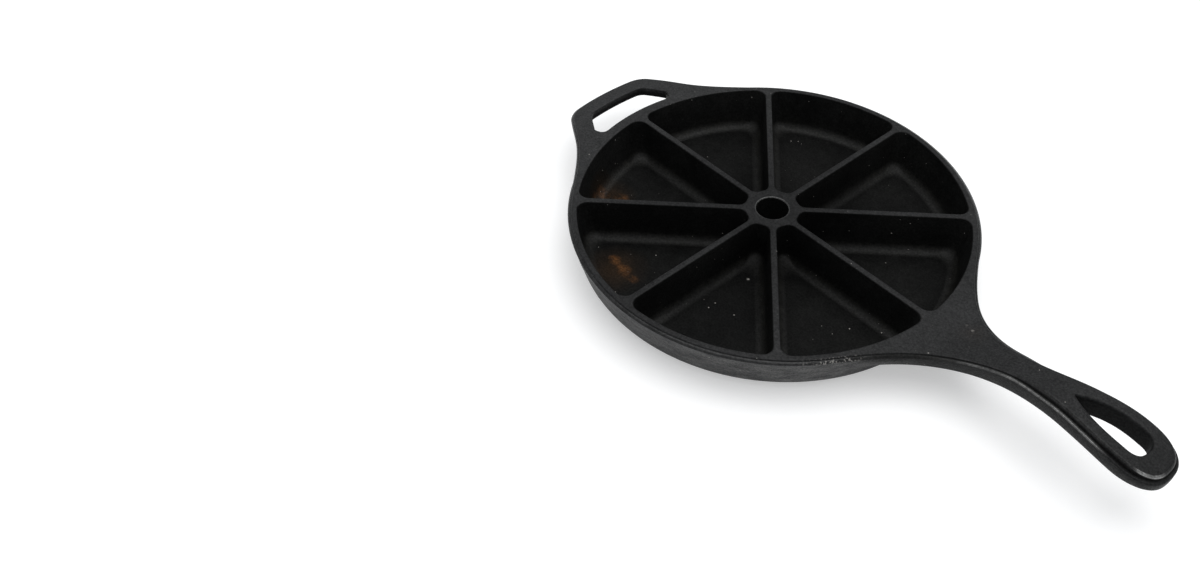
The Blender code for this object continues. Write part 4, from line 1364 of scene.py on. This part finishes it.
def iron_inputs(tree):
    """Sockets with the place, the marks, the noises and how far along the pan a place lies."""
    made = SimpleNamespace(place=node(tree, "ShaderNodeTexCoord").outputs["Object"])
    for mark in MARKS:
        setattr(made, mark, node(tree, "ShaderNodeAttribute", attribute_name=mark).outputs["Fac"])
    made.drift = noise(tree, made.place, 30.0, 3.0)
    made.mottle = noise(tree, made.place, 240.0, 4.0)
    made.grain = noise(tree, made.place, 900.0, 3.0, 0.6)
    made.pits = noise(tree, made.place, 1900.0, 2.0, 0.5)
    squeezed = combine(tree, "MULTIPLY", made.place, (1.0, 1.0, 4.0), kind="ShaderNodeVectorMath")
    made.streaks = noise(tree, squeezed, 90.0, 5.0, 0.65)
    made.from_hub = distance(tree, made.place, (BOWL_X, 0.0, TOP))
    split = node(tree, "ShaderNodeSeparateXYZ")
    tree.links.new(made.place, split.inputs[0])
    made.along = split.outputs[0]
    # The worn mark gives gloss and a lighter worn colour, fully only on the long handle and round the bore;
    # that colour also paints highlights there.
    handle_and_bore = combine(tree, "MAXIMUM", ramp(tree, made.along, 0.074, 0.096, 0.15, 1.0),
                      ramp(tree, made.from_hub, 0.010, 0.016, 1.0, 0.0))
    made.rubbed = times(tree, ramp(tree, made.mottle, 0.30, 0.60, 0.60, 1.0), made.worn, handle_and_bore)
    return made


# %% [markdown]
# Colour goes on in layers: the ground tone of each face, then rubbed edges with their painted
# highlights, painted glints, stains, rust and specks. The grain then darkens and lightens all of
# it, and loose dust lies on top.

# %% The colour


def ground_tone(tree, iron):
    """Land, outer side and pocket, each a mix of two tones by noise, chosen by the marks."""
    land = mix(tree, ramp(tree, iron.drift, 0.35, 0.65), *LAND_TONES)
    # Painted light: the outer side's tones are lighter, as light bounced from the floor; the streaks are
    # its own.
    outside = mix(tree, ramp(tree, iron.streaks, 0.36, 0.66), *SIDE_BOUNCE_TONES)
    # Painted shade: the outer side darkens towards the helper.
    side_shade = ramp(tree, iron.along, -0.110, 0.040, 0.45, 0.0)
    outside = mix(tree, side_shade, outside, LAND_TONES[1])
    deep = mix(tree, ramp(tree, iron.drift, 0.35, 0.65), *POCKET_TONES)
    # Painted highlight: a lighter tone on the fillets, broken by mottle.
    fillet_highlight = times(tree, ramp(tree, iron.mottle, 0.30, 0.70, 0.35, 1.0), iron.fillet)
    deep = mix(tree, fillet_highlight, deep, FILLET_HIGHLIGHT_TONE)
    # Painted light: the lighter outer side tone is mostly taken off along the long handle.
    bounce_share = ramp(tree, iron.along, 0.055, 0.075, 1.0, 0.2)
    return mix(tree, iron.pocket, mix(tree, times(tree, iron.side, bounce_share), land, outside), deep)


def with_use(tree, iron, ground):
    """The ground tone under rubbed edges with painted highlights, painted glints, stains, rust, scuffs and
    specks.
    """
    place = iron.place
    # Rubbed edges: real wear, and a painted highlight on the ledge's ridge, the tip and the bore's edge.
    ground = mix(tree, times(tree, iron.rubbed, 0.6), ground, WORN_AND_HIGHLIGHT_TONE)
    # Painted glints: pale flecks on the rim's worn edge beside the neck.
    glints = times(tree, spot_share(tree, place, GLINT_SPOTS, iron.drift),
                    ramp(tree, iron.worn, 0.1, 0.2), ramp(tree, iron.grain, 0.54, 0.60))
    ground = mix(tree, glints, ground, DUST_AND_GLINT_TONE)
    ground = mix(tree, spot_share(tree, place, STAIN_SPOTS, iron.drift), ground, STAIN_TONE)
    rust = mix(tree, iron.grain, *RUST_TONES)
    ground = mix(tree, spot_share(tree, place, RUST_SPOTS, iron.mottle), ground, rust)
    return mix(tree, spot_share(tree, place, SCUFF_SPOTS + SPECK_SPOTS, iron.mottle), ground, DUST_AND_GLINT_TONE)


def speckle_share(tree, iron):
    """Grain, pits and mottle multiplied, and darker towards the hub."""
    return times(tree, ramp(tree, iron.grain, 0.30, 0.70, 0.65, 1.35),
                 ramp(tree, iron.pits, 0.3, 0.7, 0.85, 1.15),
                 ramp(tree, iron.mottle, 0.3, 0.7, 0.88, 1.12),
                 ramp(tree, iron.from_hub, 0.02, 0.09, 0.75, 1.0))


# %% [markdown]
# Gloss makes the iron. Polished edges reflect more and are smoother, the fillets of the pockets
# show soft lights, and the pockets' floors are nearly dead. The bump is the same grain as in
# the colour, so light and tone agree, and it is deeper on the outer side.

# %% The finish of a piece
BUMP_DEPTH = 0.0004


def iron_material(name):
    """Colour, gloss, roughness and bump, all from the same inputs."""
    material = bpy.data.materials.new(name)
    material.use_nodes = True
    tree = material.node_tree
    shader = tree.nodes["Principled BSDF"]
    iron = iron_inputs(tree)
    speckle = speckle_share(tree, iron)
    grey = node(tree, "ShaderNodeCombineColor")
    for socket in grey.inputs[:3]:
        tree.links.new(speckle, socket)
    ground = with_use(tree, iron, ground_tone(tree, iron))
    ground = mix(tree, 1.0, ground, grey.outputs[0], "MULTIPLY")
    dusty = mix(tree, dust_share(tree, iron.place, iron.drift), ground, DUST_AND_GLINT_TONE)
    tree.links.new(dusty, shader.inputs["Base Color"])

    dull = ramp(tree, iron.along, -0.170, -0.100, 1.0, 0.0)
    shine = plus(tree, ramp(tree, dull, 0.0, 1.0, 0.15, 0.26), times(tree, iron.rubbed, 0.8))
    in_pocket = ramp(tree, iron.fillet, 0.0, 1.0, 0.03, 0.20)
    to_pocket = times(tree, combine(tree, "SUBTRACT", in_pocket, shine), iron.pocket)
    shine = times(tree, plus(tree, shine, to_pocket), speckle)
    tree.links.new(shine, shader.inputs["Specular IOR Level"])
    polish = times(tree, combine(tree, "MINIMUM", iron.worn, 1.0), -0.18)
    roughness = plus(tree, ramp(tree, iron.mottle, 0.3, 0.7, 0.34, 0.46), polish,
                     times(tree, iron.pocket, 0.10))
    tree.links.new(roughness, shader.inputs["Roughness"])

    bump = node(tree, "ShaderNodeBump")
    bump.inputs["Distance"].default_value = BUMP_DEPTH
    tree.links.new(ramp(tree, iron.side, 0.0, 1.0, 0.45, 0.85), bump.inputs["Strength"])
    tree.links.new(plus(tree, times(tree, iron.grain, 0.8), times(tree, iron.pits, 0.2)),
                   bump.inputs["Height"])
    tree.links.new(bump.outputs["Normal"], shader.inputs["Normal"])
    return material


for name, obj in castings.items():
    obj.data.materials.append(iron_material(name + "_seasoned"))
print("materials:", len(castings))

# %% [markdown]
# The pan stands on a plain pale floor. What the camera sees of the floor is lifted towards
# white, while the pan's shadow stays. One large soft lamp hangs almost overhead, as in a small
# product studio, and the world fills in from all sides.

# %% The floor and the light
FLOOR_HALF = 3.0
FLOOR_TONE = (0.94, 0.94, 0.94, 1.0)
FLOOR_LIFT = 0.22
FLOOR_GLOW = 1.70
WORLD_TONE = (0.96, 0.98, 1.0, 1.0)
WORLD_STRENGTH = 0.62
LAMP_PLACE = (0.0, 0.3, 1.55)
LAMP_SIZE = 1.8
LAMP_POWER = 19.0

floor_mesh = bpy.data.meshes.new("studio_floor")
floor_mesh.from_pydata([(x * FLOOR_HALF, y * FLOOR_HALF, 0.0) for x, y in
                        ((-1, -1), (1, -1), (1, 1), (-1, 1))], [], [(0, 1, 2, 3)])
floor = bpy.data.objects.new("studio_floor", floor_mesh)
bpy.context.scene.collection.objects.link(floor)


def floor_material():
    """White paper, lifted towards white for the camera's own rays."""
    material = bpy.data.materials.new("paper")
    material.use_nodes = True
    tree = material.node_tree
    shader = tree.nodes["Principled BSDF"]
    shader.inputs["Base Color"].default_value = FLOOR_TONE
    shader.inputs["Roughness"].default_value = 0.9
    shader.inputs["Specular IOR Level"].default_value = 0.1
    glow = node(tree, "ShaderNodeEmission")
    glow.inputs["Strength"].default_value = FLOOR_GLOW
    path = node(tree, "ShaderNodeLightPath")
    both = node(tree, "ShaderNodeMixShader")
    tree.links.new(times(tree, path.outputs["Is Camera Ray"], FLOOR_LIFT), both.inputs[0])
    tree.links.new(shader.outputs[0], both.inputs[1])
    tree.links.new(glow.outputs[0], both.inputs[2])
    tree.links.new(both.outputs[0], tree.nodes["Material Output"].inputs["Surface"])
    return material


floor_mesh.materials.append(floor_material())

world = bpy.data.worlds.new("studio")
world.use_nodes = True
bpy.context.scene.world = world
world.node_tree.nodes["Background"].inputs["Color"].default_value = WORLD_TONE
world.node_tree.nodes["Background"].inputs["Strength"].default_value = WORLD_STRENGTH

lamp = bpy.data.lights.new("overhead", "AREA")
lamp.size = LAMP_SIZE
lamp.energy = LAMP_POWER
lamp_object = bpy.data.objects.new("overhead", lamp)
lamp_object.location = LAMP_PLACE
lamp_object.rotation_euler = (-Vector(LAMP_PLACE)).to_track_quat("-Z", "Y").to_euler()
bpy.context.scene.collection.objects.link(lamp_object)
print("lamp: %.1f m wide, %.2f m up, %.0f W" % (LAMP_SIZE, LAMP_PLACE[2], LAMP_POWER))

# %% [markdown]
# The camera stands where the photograph's camera stood. Its place was found by fitting the
# circles, the dividers and the handles: 46 degrees above the table, 50 degrees round from the
# long handle's side, and 0.68 m from the hub. The hub doesn't lie in the middle of the
# picture, so the camera's place is worked out from where the hub's pixel lies.

# %% The camera
IMAGE_WIDTH, IMAGE_HEIGHT = 1200, 584
FOCAL_PIXELS = 1204.0
HUB_PIXEL = (772.37, 207.92)
AZIMUTH, ELEVATION, ROLL = math.radians(49.89), math.radians(45.90), math.radians(-0.71)
DISTANCE_IN_RADII = 6.157
DISTANCE = DISTANCE_IN_RADII * POCKET_RADIUS


def camera_axes(azimuth, elevation, roll):
    """Right, up and back directions of a camera that looks down at the bowl."""
    back = Vector((math.sin(azimuth) * math.cos(elevation), -math.cos(azimuth) * math.cos(elevation),
                   math.sin(elevation)))
    right = Vector((math.cos(azimuth), math.sin(azimuth), 0.0))
    up = back.cross(right)
    c, s = math.cos(roll), math.sin(roll)
    return c * right + s * up, -s * right + c * up, back


right, up, back = camera_axes(AZIMUTH, ELEVATION, ROLL)
hub_right = (HUB_PIXEL[0] - IMAGE_WIDTH / 2) * DISTANCE / FOCAL_PIXELS
hub_up = -(HUB_PIXEL[1] - IMAGE_HEIGHT / 2) * DISTANCE / FOCAL_PIXELS
hub_top = Vector((BOWL_X, 0.0, TOP))
camera_data = bpy.data.cameras.new("camera")
camera_data.sensor_width = 36.0
camera_data.lens = FOCAL_PIXELS / IMAGE_WIDTH * camera_data.sensor_width
camera_data.clip_start = 0.01
camera = bpy.data.objects.new("camera", camera_data)
camera.matrix_world = Matrix.Translation(
    hub_top - right * hub_right - up * hub_up + back * DISTANCE) @ Matrix(
        (right, up, back)).transposed().to_4x4()
bpy.context.scene.collection.objects.link(camera)
bpy.context.scene.camera = camera
bpy.context.scene.view_settings.view_transform = "Standard"
print("camera at", [round(v, 3) for v in camera.matrix_world.translation])
